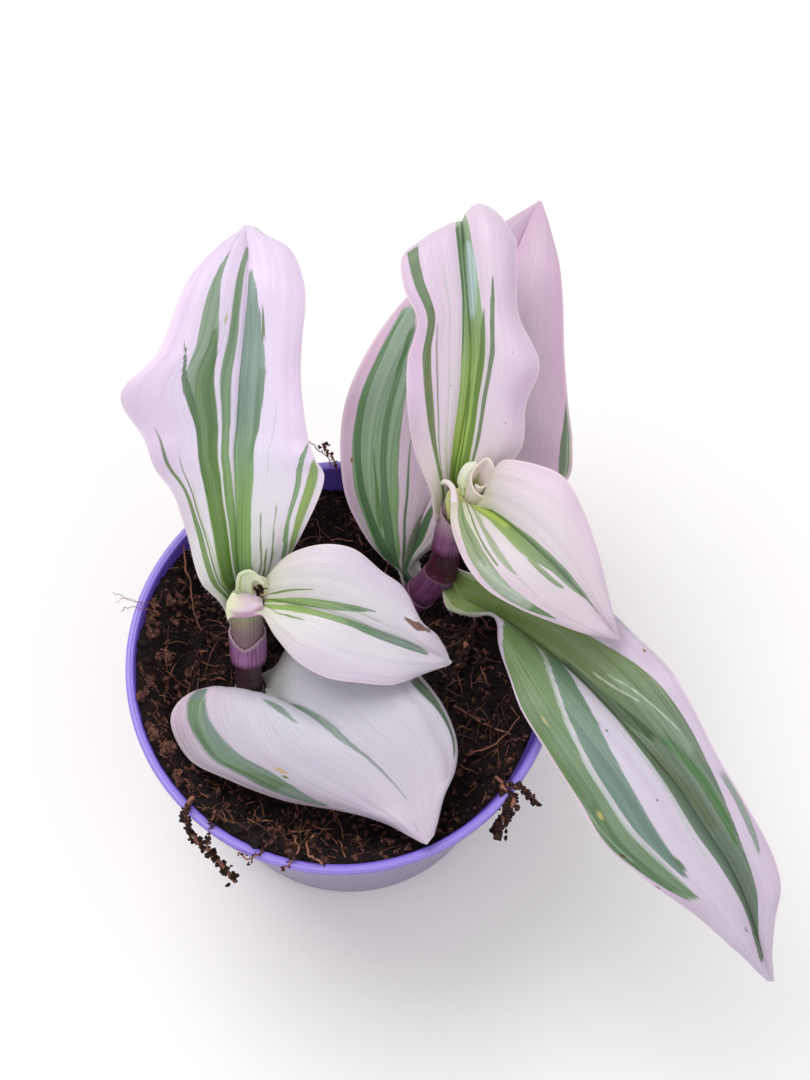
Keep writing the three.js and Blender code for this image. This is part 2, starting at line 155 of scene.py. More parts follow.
def fade(tree, value, low, high, to_low=0.0, to_high=1.0):
    sockets = {"Value": value, "From Min": low, "From Max": high, "To Min": to_low, "To Max": to_high}
    node = put(tree, "ShaderNodeMapRange", sockets, interpolation_type="SMOOTHSTEP")
    return node.outputs["Result"]


def mix(tree, factor, first, second):
    sockets = {0: factor, 6: first, 7: second}
    return put(tree, "ShaderNodeMix", sockets, data_type="RGBA", clamp_factor=True).outputs[2]


def cloud(tree, vector, scale, detail=3.0, roughness=0.55):
    sockets = {"Vector": vector, "Scale": scale, "Detail": detail, "Roughness": roughness}
    return put(tree, "ShaderNodeTexNoise", sockets).outputs["Fac"]


def new_material(name):
    material = bpy.data.materials.new(name)
    material.use_nodes = True
    tree = material.node_tree
    return material, tree, tree.nodes["Principled BSDF"]


def new_group(name, inputs, outputs):
    group = bpy.data.node_groups.new(name, "ShaderNodeTree")
    for label, kind, value in inputs:
        socket = group.interface.new_socket(label, in_out="INPUT", socket_type=kind)
        if value is not None:
            socket.default_value = value
    for label, kind in outputs:
        group.interface.new_socket(label, in_out="OUTPUT", socket_type=kind)
    return group, group.nodes.new("NodeGroupInput").outputs, group.nodes.new("NodeGroupOutput")


def use_group(tree, group, inputs):
    node = tree.nodes.new("ShaderNodeGroup")
    node.node_tree = group
    connect(tree, node, inputs)
    return node.outputs


def bump(tree, height, strength, distance):
    sockets = {"Height": height, "Strength": strength, "Distance": distance}
    return put(tree, "ShaderNodeBump", sockets).outputs["Normal"]


# %% Floor finish
def floor_board():
    material, tree, board = new_material("pale board")
    place = put(tree, "ShaderNodeTexCoord").outputs["Object"]
    mottle = cloud(tree, place, 9, 4)
    color = mix(tree, mottle, paint("#f3f2f1"), paint("#f9f8f8"))
    tree.links.new(color, board.inputs["Base Color"])
    board.inputs["Roughness"].default_value = 0.85
    return material


floor.data.materials.append(floor_board())

# %% [markdown]
# ## Shared effects
# Effects that more than one finish uses are node groups, each built once: fine lines that run
# along a blade, a comb of veins, one painted stripe, one small spot, and crumbly grit.
# The groups give out only masks and heights. The shaders stay in the materials.

# %% Fine lines along a blade
FLOAT = "NodeSocketFloat"
VECTOR = "NodeSocketVector"


def build_lines_group():
    inputs = [("Across", FLOAT, 0.0), ("Along", FLOAT, 0.0), ("Count", FLOAT, 60.0), ("Length", FLOAT, 2.0)]
    group, given, result = new_group("lines along a blade", inputs, [("Lines", FLOAT), ("Streaks", FLOAT)])
    x = calc(group, "MULTIPLY", given["Across"], given["Count"])
    y = calc(group, "MULTIPLY", given["Along"], given["Length"])
    spot = put(group, "ShaderNodeCombineXYZ", {"X": x, "Y": y}).outputs[0]
    fine = cloud(group, spot, 1.0, 1.0, 0.4)
    coarse = cloud(group, spot, 0.31, 2.0, 0.5)
    group.links.new(fade(group, fine, 0.42, 0.66), result.inputs["Lines"])
    group.links.new(fade(group, coarse, 0.32, 0.68), result.inputs["Streaks"])
    return group


LINES = build_lines_group()

# %% A comb along the veins
def build_comb_group():
    """Moves the place along the blade by a little, vein by vein: slanted edges become combs."""
    inputs = [("Across", FLOAT, 0.0), ("Along", FLOAT, 0.0), ("Teeth", FLOAT, 44.0), ("Depth", FLOAT, 0.075)]
    group, given, result = new_group("comb along the veins", inputs, [("Along", FLOAT)])
    x = calc(group, "MULTIPLY", given["Across"], given["Teeth"])
    y = calc(group, "MULTIPLY", given["Along"], 1.4)
    spot = put(group, "ShaderNodeCombineXYZ", {"X": x, "Y": y}).outputs[0]
    jump = calc(group, "SUBTRACT", cloud(group, spot, 1.0, 2.0, 0.6), 0.5)
    moved = calc(group, "ADD", given["Along"], calc(group, "MULTIPLY", jump, given["Depth"]))
    group.links.new(moved, result.inputs["Along"])
    return group


COMB = build_comb_group()

# %% One painted stripe
def build_stripe_group():
    names = [("Across", 0.0), ("Along", 0.0), ("Left", 0.0), ("Right", 0.0), ("Start", -1.0),
             ("End", 2.0), ("Soft", 0.005)]
    inputs = [(name, FLOAT, value) for name, value in names]
    group, given, result = new_group("painted stripe", inputs, [("Mask", FLOAT), ("Border", FLOAT)])
    spot = put(group, "ShaderNodeCombineXYZ", {"X": given["Across"], "Y": given["Along"]}).outputs[0]
    wobble = calc(group, "MULTIPLY", calc(group, "SUBTRACT", cloud(group, spot, 16.0, 1.0), 0.5), 0.01)
    across = calc(group, "ADD", given["Across"], wobble)
    inside_left = calc(group, "SUBTRACT", across, given["Left"])
    inside_right = calc(group, "SUBTRACT", given["Right"], across)
    inside = calc(group, "MINIMUM", inside_left, inside_right)
    body = fade(group, inside, -0.001, given["Soft"])
    begun = fade(group, calc(group, "SUBTRACT", given["Along"], given["Start"]), 0.0, 0.02)
    ended = fade(group, calc(group, "SUBTRACT", given["End"], given["Along"]), 0.0, 0.012)
    ends = calc(group, "MULTIPLY", begun, ended)
    group.links.new(calc(group, "MULTIPLY", body, ends), result.inputs["Mask"])
    group.links.new(fade(group, inside, 0.004, 0.022, 1.0, 0.0), result.inputs["Border"])
    return group


STRIPE = build_stripe_group()

# %% One small spot
def build_spot_group():
    inputs = [("Across", FLOAT, 0.0), ("Along", FLOAT, 0.0), ("U", FLOAT, 0.5), ("V", FLOAT, 0.5),
              ("Wide", FLOAT, 0.02), ("Long", FLOAT, 0.01)]
    group, given, result = new_group("small spot", inputs, [("Mask", FLOAT)])
    x = calc(group, "DIVIDE", calc(group, "SUBTRACT", given["Across"], given["U"]), given["Wide"])
    y = calc(group, "DIVIDE", calc(group, "SUBTRACT", given["Along"], given["V"]), given["Long"])
    spot = put(group, "ShaderNodeCombineXYZ", {"X": x, "Y": y}).outputs[0]
    length = put(group, "ShaderNodeVectorMath", {0: spot}, operation="LENGTH").outputs["Value"]
    uneven = calc(group, "MULTIPLY", cloud(group, spot, 1.8, 3.0, 0.7), 1.1)
    edge = calc(group, "ADD", length, uneven)
    group.links.new(fade(group, edge, 0.85, 1.35, 1.0, 0.0), result.inputs["Mask"])
    return group


SPOT = build_spot_group()

# %% Crumbly grit
def build_grit_group():
    inputs = [("Place", VECTOR, None), ("Size", FLOAT, 900.0)]
    group, given, result = new_group("crumbly grit", inputs, [("Grit", FLOAT), ("Patches", FLOAT)])
    fine = cloud(group, given["Place"], given["Size"], 6.0, 0.7)
    wide = cloud(group, given["Place"], calc(group, "MULTIPLY", given["Size"], 0.22), 3.0, 0.55)
    group.links.new(fine, result.inputs["Grit"])
    group.links.new(fade(group, wide, 0.35, 0.68), result.inputs["Patches"])
    return group


GRIT = build_grit_group()

# %% [markdown]
# ## Curves and sheets
# Stems, sheaths and blades all follow smooth curves through a few measured points, the same
# points that shape the CAD solids, so a piece made here lies where its solid lies.
# A leaf is modelled like a sheet of rubber: a flat grid primitive is added with enough squares,
# and each of its corners is moved to its place on the curved blade. The grid brings its own UV
# map, which then runs across and along the blade, and the stripes are painted by it.

# %% Smooth curves
def smooth_curve(points, amounts):
    points = np.asarray(points, float)
    last = len(points) - 1
    first_ghost = 2 * points[0] - points[1]
    last_ghost = 2 * points[-1] - points[-2]
    padded = np.vstack([first_ghost, points, last_ghost])
    place = np.clip(np.asarray(amounts, float) * last, 0, last - 1e-9)
    start = place.astype(int)
    part = (place - start)[:, None]
    p0, p1, p2, p3 = [padded[start + k] for k in range(4)]
    steps = ((p0, p1), (p1, p2), (p2, p3))
    d0, d1, d2 = [np.sqrt(np.sqrt(((b - a) ** 2).sum(1)))[:, None] for a, b in steps]
    d1 = np.where(d1 < 1e-4, 1.0, d1)
    d0 = np.where(d0 < 1e-4, d1, d0)
    d2 = np.where(d2 < 1e-4, d1, d2)
    slope1 = ((p1 - p0) / d0 - (p2 - p0) / (d0 + d1) + (p2 - p1) / d1) * d1
    slope2 = ((p2 - p1) / d1 - (p3 - p1) / (d1 + d2) + (p3 - p2) / d2) * d1
    square = part * part
    cube = square * part
    bend = (2 * p1 - 2 * p2 + slope1 + slope2) * cube
    return p1 + slope1 * part + (3 * p2 - 3 * p1 - 2 * slope1 - slope2) * square + bend


def step_up(value, low, high):
    part = np.clip((np.asarray(value, float) - low) / (high - low), 0, 1)
    return part * part * (3 - 2 * part)


def unit(vectors):
    return vectors / np.maximum(np.linalg.norm(vectors, axis=-1, keepdims=True), 1e-9)


# %% A sheet from a grid
def add_sheet(name, across, along, place):
    """Adds a grid and puts its corners where place(u, v) says, in millimetres."""
    deselect_all()
    bpy.ops.mesh.primitive_grid_add(x_subdivisions=across, y_subdivisions=along, size=2)
    sheet = bpy.context.object
    sheet.name = name
    sheet.data.name = name
    flat = np.zeros(len(sheet.data.vertices) * 3)
    sheet.data.vertices.foreach_get("co", flat)
    flat = flat.reshape(-1, 3)
    us = np.unique(flat[:, 0].round(6))
    vs = np.unique(flat[:, 1].round(6))
    columns = np.searchsorted(us, flat[:, 0].round(6) - 1e-7)
    rows = np.searchsorted(vs, flat[:, 1].round(6) - 1e-7)
    placed = place(us, (vs + 1) / 2)[rows, columns] * MM
    sheet.data.vertices.foreach_set("co", placed.ravel())
    sheet.data.update()
    return sheet


def smooth(piece, angle=40):
    deselect_all()
    piece.select_set(True)
    bpy.context.view_layer.objects.active = piece
    bpy.ops.object.shade_smooth_by_angle(angle=math.radians(angle))


def apply_all(piece):
    deselect_all()
    piece.select_set(True)
    bpy.context.view_layer.objects.active = piece
    for modifier in list(piece.modifiers):
        bpy.ops.object.modifier_apply(modifier=modifier.name)


def join(name, pieces):
    deselect_all()
    for piece in pieces:
        piece.select_set(True)
    bpy.context.view_layer.objects.active = pieces[0]
    bpy.ops.object.join()
    pieces[0].name = name
    pieces[0].data.name = name
    return pieces[0]


def finish_piece(piece, slot, *nodes):
    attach(piece, "root")
    if nodes:
        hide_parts(*nodes)
    print(piece.name, len(piece.data.polygons), "faces")

# %% [markdown]
# ## The stems
# Each stem is a juicy cane that starts deep in the peat. It is a round sheet rolled along its
# curve, a little swollen at each node, and closed by merging the two edges that meet.

# %% Shoots
SHOOTS = {
    "left": {
        "path": [(-15, -9, 32), (-15.4, -4, 46), (-15.2, 1.5, 55.5), (-15, 6.5, 64), (-14.5, 7.7, 66.4)],
        "radius": (2.0, 1.5),
        "nodes": (50.2, 57.6, 61.4), "girth": ((48, 0.3), (53.5, 0.3), (58, 0)),
    },
    "right": {
        "path": [(8.5, 13.5, 34), (10.5, 13.5, 45), (13.5, 14, 50.5), (16, 15.5, 55), (17, 18, 60),
                 (17.6, 20.6, 65), (18.8, 22.4, 70.3)],
        "radius": (1.9, 1.2),
        "nodes": (49.2, 54.8, 64.6), "girth": ((52, 0.4), (54, 0.9), (57, 1.0), (60, 0.7), (62, 0.1)),
    },
}


def shoot_frame(shoot, amounts):
    """Centre, side and front directions and stem radius along a shoot."""
    centre = smooth_curve(shoot["path"], amounts)
    ahead = smooth_curve(shoot["path"], np.minimum(np.asarray(amounts) + 0.002, 1))
    behind = smooth_curve(shoot["path"], np.maximum(np.asarray(amounts) - 0.002, 0))
    along = unit(ahead - behind)
    side = unit(np.array([1.0, 0, 0]) - along * along[:, :1])
    front = np.cross(along, side)
    low, high = shoot["radius"]
    return centre, side, front, low + (high - low) * np.asarray(amounts)


def amount_at(shoot, height):
    amounts = np.linspace(0, 1, 400)
    return np.interp(height, smooth_curve(shoot["path"], amounts)[:, 2], amounts)


def round_sheet(centre, side, front, radii, us):
    turn = math.pi * (np.asarray(us) + 1)
    ring = np.cos(turn)[None, :, None] * side[:, None] + np.sin(turn)[None, :, None] * front[:, None]
    return centre[:, None] + ring * radii[..., None]


def weld(piece):
    deselect_all()
    piece.select_set(True)
    bpy.context.view_layer.objects.active = piece
    bpy.ops.object.mode_set(mode="EDIT")
    bpy.ops.mesh.select_all(action="SELECT")
    bpy.ops.mesh.remove_doubles(threshold=0.000005)
    bpy.ops.mesh.normals_make_consistent(inside=False)
    bpy.ops.object.mode_set(mode="OBJECT")


def grow_stem(name, shoot):
    def place(us, vs):
        centre, side, front, radius = shoot_frame(shoot, vs)
        for height in shoot["nodes"]:
            radius = radius * (1 + 0.1 * np.exp(-(((centre[:, 2] - height) / 0.6) ** 2)))
        heights, extra = zip(*shoot["girth"])
        radius = radius + np.interp(centre[:, 2], heights, extra, left=0)
        turn = math.pi * (us + 1)
        ribs = 1 + 0.012 * np.cos(18 * turn)[None, :]
        closing = np.sqrt(np.clip(np.minimum(vs, 1 - vs) / 0.006, 0, 1))[:, None]
        return round_sheet(centre, side, front, radius[:, None] * ribs * closing, us)

    stem = add_sheet(name, 48, 120, place)
    weld(stem)
    smooth(stem)
    return stem


stems = {side: grow_stem(side + "_stem_skin", shoot) for side, shoot in SHOOTS.items()}

# %% Stem finish
def stem_finish(label, dark, flush, young_from):
    material, tree, skin = new_material(label)
    place = put(tree, "ShaderNodeTexCoord").outputs["Object"]
    stretched = put(tree, "ShaderNodeMapping", {"Vector": place, "Scale": (1500, 1500, 160)}).outputs[0]
    fibres = cloud(tree, stretched, 1.0, 2.0)
    patches = cloud(tree, place, 260, 3.0)
    height = put(tree, "ShaderNodeSeparateXYZ", {0: place}).outputs["Z"]
    young = fade(tree, height, young_from, young_from + 0.005)
    color = mix(tree, fade(tree, patches, 0.3, 0.7), paint(dark), paint(flush))
    color = mix(tree, calc(tree, "MULTIPLY", young, 0.8), color, paint("#9aa064"))
    color = mix(tree, calc(tree, "MULTIPLY", fibres, 0.35), color, paint("#2a1620"))
    tree.links.new(color, skin.inputs["Base Color"])
    skin.inputs["Roughness"].default_value = 0.36
    skin.inputs["Specular IOR Level"].default_value = 0.5
    tree.links.new(bump(tree, fibres, 0.35, 0.0002), skin.inputs["Normal"])
    return material


CANES = {
    "left": stem_finish("brown cane", "#33222a", "#54404a", 0.060),
    "right": stem_finish("magenta cane", "#2f0e1c", "#5a2038", 0.062),
}
for side, stem in stems.items():
    stem.data.materials.append(CANES[side])
    finish_piece(stem, "stem", side + "_stem")

# %% [markdown]
# ## The leaves
# Every leaf is listed by stations from its base to its tip. Each station holds points across the
# blade in millimetres, from one margin over the rib to the other. The crown says how far each half
# bulges between rib and margin.

# %% Leaf stations
LEAVES = {
    "left_leaf_low": {
        "shoot": "left", "rib": 2, "crown": (0, 1.2),
        "stations": [
            [(-13.5, -0.5, 49.5), (-13, -2, 50), (-12.5, -3.5, 50.5), (-13.5, -5, 51)],
            [(-11, 0.5, 50.5), (-10.5, -1.5, 54), (-10.5, -6, 53), (-16.5, -5, 52.5)],
            [(-8.5, 4.5, 52), (-7, 0.5, 58), (-8.5, -7.5, 55.5), (-22, -4.5, 53.5)],
            [(-2, 7, 53), (-1, 0.5, 60.5), (-5.5, -9.5, 57.5), (-26, -6, 53.5)],
            [(5, 4.5, 54), (6, -1.5, 61.5), (-1.5, -12.5, 59), (-27.5, -9.5, 52.5)],
            [(11.5, -1.5, 55), (11.5, -7, 61.5), (1.5, -15.5, 59.5), (-24.5, -15.5, 52)],
            [(16, -7.5, 55.5), (15, -11, 61.5), (4.5, -18, 59.5), (-18, -19, 52)],
            [(18.2, -14, 55.5), (17.2, -16, 61), (8, -21.5, 59), (-9, -22.5, 52.5)],
            [(17.8, -18.5, 56.5), (17.2, -20, 60.5), (10.5, -25.5, 58.5), (0, -24.5, 53.5)],
            [(15.9, -23.5, 57.5), (15.5, -24.6, 60), (11.8, -28.5, 58.5), (7, -27, 56)],
            [(14.6, -29.4, 58.2), (14.2, -30, 58.4), (13.5, -31, 58.4), (12.6, -30.6, 58)],
        ],
    },
    "left_leaf_tall": {
        "shoot": "left", "rib": 1, "crown": (1, 1),
        "stations": [
            [(-17.5, 3.5, 57), (-15, 5, 56), (-13, 3.5, 57)],
            [(-18.9, 6.5, 62.8), (-16, 10, 60.5), (-12.3, 9.5, 63)],
            [(-22, 9, 66.5), (-16.5, 12.5, 66), (-9, 12, 67)],
            [(-24, 15, 71), (-16.5, 18.5, 72), (-6, 15.5, 71.5)],
            [(-26, 20.5, 75.5), (-16.5, 23.5, 75.5), (-2.5, 23, 76.5)],
            [(-28.5, 23, 79), (-16.5, 27, 77.5), (-4, 25.5, 78)],
            [(-30, 26.5, 82.5), (-16, 30.5, 79), (-5, 28.5, 79)],
            [(-33.1, 31.2, 88.2), (-15.5, 36.5, 82.5), (-6, 35, 81)],
            [(-27.5, 38, 89.5), (-15, 43, 85), (-6, 43, 84)],
            [(-24, 48, 91), (-14.5, 50.5, 88), (-5.5, 50.5, 87)],
            [(-20.5, 54.5, 90), (-14.5, 56, 88), (-8, 57.5, 86)],
            [(-17, 59, 87.5), (-15, 59.5, 87), (-12, 60.5, 86)],
            [(-15.5, 62.5, 85.5), (-15, 62.5, 85.5), (-14.5, 62.5, 85.5)],
        ],
    },
    "left_leaf_front": {
        "shoot": "left", "rib": 1, "crown": (1.2, 0.8),
        "stations": [
            [(-12.8, 8, 64), (-12.4, 6.5, 64.5), (-14.2, 4.4, 65.4)],
            [(-11, 9.5, 69.5), (-11.5, 6, 67), (-12, 3, 67.5)],
            [(-8, 11.5, 72), (-8, 5, 68), (-10, -0.5, 68)],
            [(-3, 12.5, 74), (-3.5, 3.5, 69.5), (-6.5, -4.5, 68)],
            [(2, 12, 73.5), (1.5, 2, 69.5), (-2, -7, 67.5)],
            [(6.5, 9, 71.5), (5.5, 0.5, 68.5), (3, -7.5, 66.5)],
            [(10, 7, 69), (9.5, -0.5, 67), (8, -7.5, 65.5)],
            [(12.5, 2.5, 66.5), (13, -1.5, 65), (12, -5.5, 63.5)],
            [(15, 1, 63.5), (15.5, -2, 63), (15, -4, 62.5)],
            [(17, -2, 61.5), (17.5, -2.5, 61.5), (17, -3, 61.5)],
        ],
    },
    "right_leaf_back": {
        "shoot": "right", "rib": 1, "crown": (1.5, 1.2),
        "stations": [
            [(10, 15, 48.5), (11.2, 16, 48.3), (13.5, 16.5, 49)],
            [(9, 17, 51), (10, 17.5, 50.5), (12.5, 19, 51)],
            [(6.5, 18.5, 53), (11.5, 21, 52.4), (16, 21, 54)],
            [(3.5, 21.5, 55.5), (13, 25, 55.8), (22, 23.5, 57.8)],
            [(0.5, 26.5, 59), (15.5, 30.5, 58.4), (30.6, 26, 59.4)],
            [(-0.5, 33, 62), (17, 36.5, 60.8), (36.9, 29.3, 61.2)],
            [(0, 40, 65), (19.5, 42.7, 63), (37.5, 34.3, 63.4)],
            [(2.5, 47, 66.5), (22, 49.5, 64), (37, 42, 64)],
            [(7, 55, 67.5), (24.5, 56.5, 65.5), (36.5, 50.5, 65.5)],
            [(12.5, 61.5, 68), (26.5, 63, 66.5), (36.5, 59, 67)],
            [(19, 67, 68.5), (29, 69, 67.5), (36, 65, 68)],
            [(26, 72.5, 68.5), (31, 74, 67.5), (35, 71, 68)],
            [(32.5, 78, 67), (33, 78.5, 67), (33.5, 78, 67)],
        ],
    },
    "right_leaf_long": {
        "shoot": "right", "rib": 1, "crown": (1.6, 1.6),
        "stations": [
            [(17, 17.4, 54.2), (17.7, 14.7, 53.8), (16.2, 12.9, 53.5)],
            [(20.5, 14, 58), (19.5, 11, 54.5), (17, 9.5, 53.5)],
            [(27, 12, 62), (22.5, 9, 55.5), (21, 7.5, 55)],
            [(34.5, 8.5, 65), (26.5, 5.5, 57.5), (24.5, 6, 59.5)],
            [(40.5, 5.5, 67), (31.5, 1, 59.5), (25, 1.5, 60)],
            [(46.5, -1, 68.5), (37, -4.5, 61), (26.5, -4.5, 60.5)],
            [(51, -6, 68.5), (42, -10.5, 62), (28.5, -10.5, 61)],
            [(54, -11.5, 68), (47, -16.5, 62.5), (32, -17, 61.5)],
            [(57.5, -19, 67), (52.5, -23.5, 62), (36.5, -24.5, 61)],
            [(61.5, -26, 65.5), (56, -29, 61), (40, -30.5, 60)],
            [(65, -32, 63.5), (59.5, -34, 59.5), (45, -35, 58.5)],
            [(67, -37.5, 61), (62, -38.5, 57.5), (52.5, -40, 56.5)],
            [(66.5, -42.5, 57), (64, -43, 54.5), (59, -44.5, 53.5)],
            [(66.5, -47, 52), (65.5, -47, 51.5), (63.5, -48, 50.5)],
            [(67.5, -50, 47.5), (67, -50, 47.5), (66.5, -50, 47.5)],
        ],
    },
    "right_leaf_upright": {
        "shoot": "right", "rib": 1, "crown": (0.8, 3.2),
        "stations": [
            [(15.4, 20, 63.8), (17.4, 22.2, 63), (19.6, 20.3, 63.8)],
            [(14.9, 19.8, 66.5), (18, 24.9, 65.6), (21.5, 24.4, 66.8)],
            [(14, 23.5, 70), (18, 27, 69.5), (25.5, 26, 70.3)],
            [(11.5, 28.5, 74.5), (19, 31, 74), (28.5, 29, 75)],
            [(10.5, 34, 79), (20, 36, 78), (29, 34, 79)],
            [(10.5, 40, 83), (20.5, 42, 82), (31, 39, 83)],
            [(12, 45, 86), (20, 48, 85.5), (28, 47, 84)],
            [(10, 49.5, 88.5), (19.5, 54, 88), (27.5, 52.5, 87)],
            [(9.5, 54, 89), (19, 60, 89), (27.5, 58.5, 88)],
            [(11.5, 57, 86.5), (19.5, 63, 86), (26.5, 61.5, 86)],
            [(14, 58.5, 82), (20.5, 64.5, 81.5), (25.5, 63.5, 81.5)],
            [(16.5, 58.5, 77), (21, 63, 76.5), (24.5, 62.5, 76.5)],
            [(20.5, 60, 71.5), (21, 60.5, 71.5), (22, 60.5, 71.5)],
        ],
    },
    "right_leaf_small": {
        "shoot": "right", "rib": 1, "crown": (1, 0.8),
        "stations": [
            [(19.9, 23.3, 69.1), (20.6, 21.3, 69), (18.5, 19.9, 69.3)],
            [(24, 23.7, 74), (21.5, 20, 71), (17.5, 20.5, 72.5)],
            [(25, 25, 77.5), (24, 18, 73.5), (17.5, 15, 73.5)],
            [(30, 24, 79), (27.5, 14, 75.5), (19.5, 9, 74.5)],
            [(34.5, 21.5, 79.5), (31, 10, 76.5), (22.5, 5, 74.5)],
            [(37.5, 16, 79), (33.5, 7.5, 76.5), (27.5, 2, 74)],
            [(39.5, 10, 77.5), (36.5, 4.5, 75.5), (33, 0, 73)],
            [(41, 4.5, 75.5), (39, 2, 74), (37.5, -1.5, 72.5)],
            [(42, 0.5, 73), (41, 0, 72.5), (40.5, -2, 72)],
            [(43, -1.5, 71), (43, -2, 71), (42.5, -2, 71)],
        ],
    },
}

# %% [markdown]
# The blade is the sheet on these stations. Real blades aren't as smooth as a loft: the rib is a
# fine groove, the halves carry long soft pleats, and the margins ripple a little. These are small
# moves along the surface normal. Solidify then gives the blade its wall, thinner at the margin,
# and hands its underside to a second material.

# %% Blade from stations
BLADE_WALL = 0.55
RIPPLES = {
    "left_leaf_low": (0.25, 5, 0.3), "left_leaf_tall": (0.3, 7, 1.1), "left_leaf_front": (0.18, 5, 2.0),
    "right_leaf_back": (0.25, 6, 0.6), "right_leaf_long": (0.25, 9, 1.7),
    "right_leaf_upright": (0.3, 6, 2.6), "right_leaf_small": (0.18, 5, 0.9),
}


def blade_rows(leaf, us, vs):
    stations = np.array(leaf["stations"], float)
    rib = leaf["rib"]
    columns = [smooth_curve(stations[:, k], vs) for k in range(stations.shape[1])]
    ahead = smooth_curve(stations[:, rib], np.minimum(vs + 0.001, 1))
    behind = smooth_curve(stations[:, rib], np.maximum(vs - 0.001, 0))
    span = columns[-1] - columns[0]
    normal = unit(np.cross(span, ahead - behind))
    rise = step_up(vs, 0, 0.22)
    calm = 1 - step_up(vs, 0.85, 1)
    rows = np.zeros((len(vs), len(us), 3))
    halves = ((us < 0, columns[rib::-1], leaf["crown"][0]), (us >= 0, columns[rib:], leaf["crown"][1]))
    for chosen, half, crown in halves:
        amount = np.abs(us[chosen])
        bulge = 4 * amount * (1 - amount)
        for row in range(len(vs)):
            line = smooth_curve([column[row] for column in half], amount)
            lift = ((1 - rise[row]) * -0.9 + rise[row] * crown) * calm[row]
            rows[row, chosen] = line + normal[row] * (lift * bulge)[:, None]
    return rows, normal


def blade_place(name, leaf):
    size, count, phase = RIPPLES[name]

    def place(us, vs):
        rows, normal = blade_rows(leaf, us, vs)
        u = us[None, :]
        v = vs[:, None]
        calm = step_up(v, 0.04, 0.2) * (1 - step_up(v, 0.9, 1))
        groove = -0.22 * np.exp(-((u / 0.045) ** 2))
        pleats = 0.05 * np.cos(u * 19 + 2 * np.sin(3 * v + phase)) + 0.03 * np.cos(u * 37 + phase)
        swing = np.sin(2 * math.pi * count * v + phase + 1.3 * np.sign(u))
        ripple = size * swing * step_up(np.abs(u), 0.45, 1)
        return rows + normal[:, None] * ((groove + pleats + ripple) * calm)[..., None]

    return place


def thin_margins(sheet):
    """Weights that make a solidified sheet thin out towards its margins and tip."""
    group = sheet.vertex_groups.new(name="body")
    layer = sheet.data.uv_layers[0].data
    weights = {}
    for loop in sheet.data.loops:
        u, v = layer[loop.index].uv
        edge = min(u, 1 - u, 1 - v)
        weights[loop.vertex_index] = float(0.3 + 0.7 * step_up(edge, 0.0, 0.05))
    for index, weight in weights.items():
        group.add([index], weight, "REPLACE")
    return group.name


def solidify(sheet, wall):
    group = thin_margins(sheet)
    modifier = sheet.modifiers.new("wall", "SOLIDIFY")
    modifier.thickness = wall * MM
    modifier.offset = 0
    modifier.material_offset = 1
    modifier.use_even_offset = False
    modifier.vertex_group = group
    modifier.thickness_vertex_group = 0.0
    apply_all(sheet)
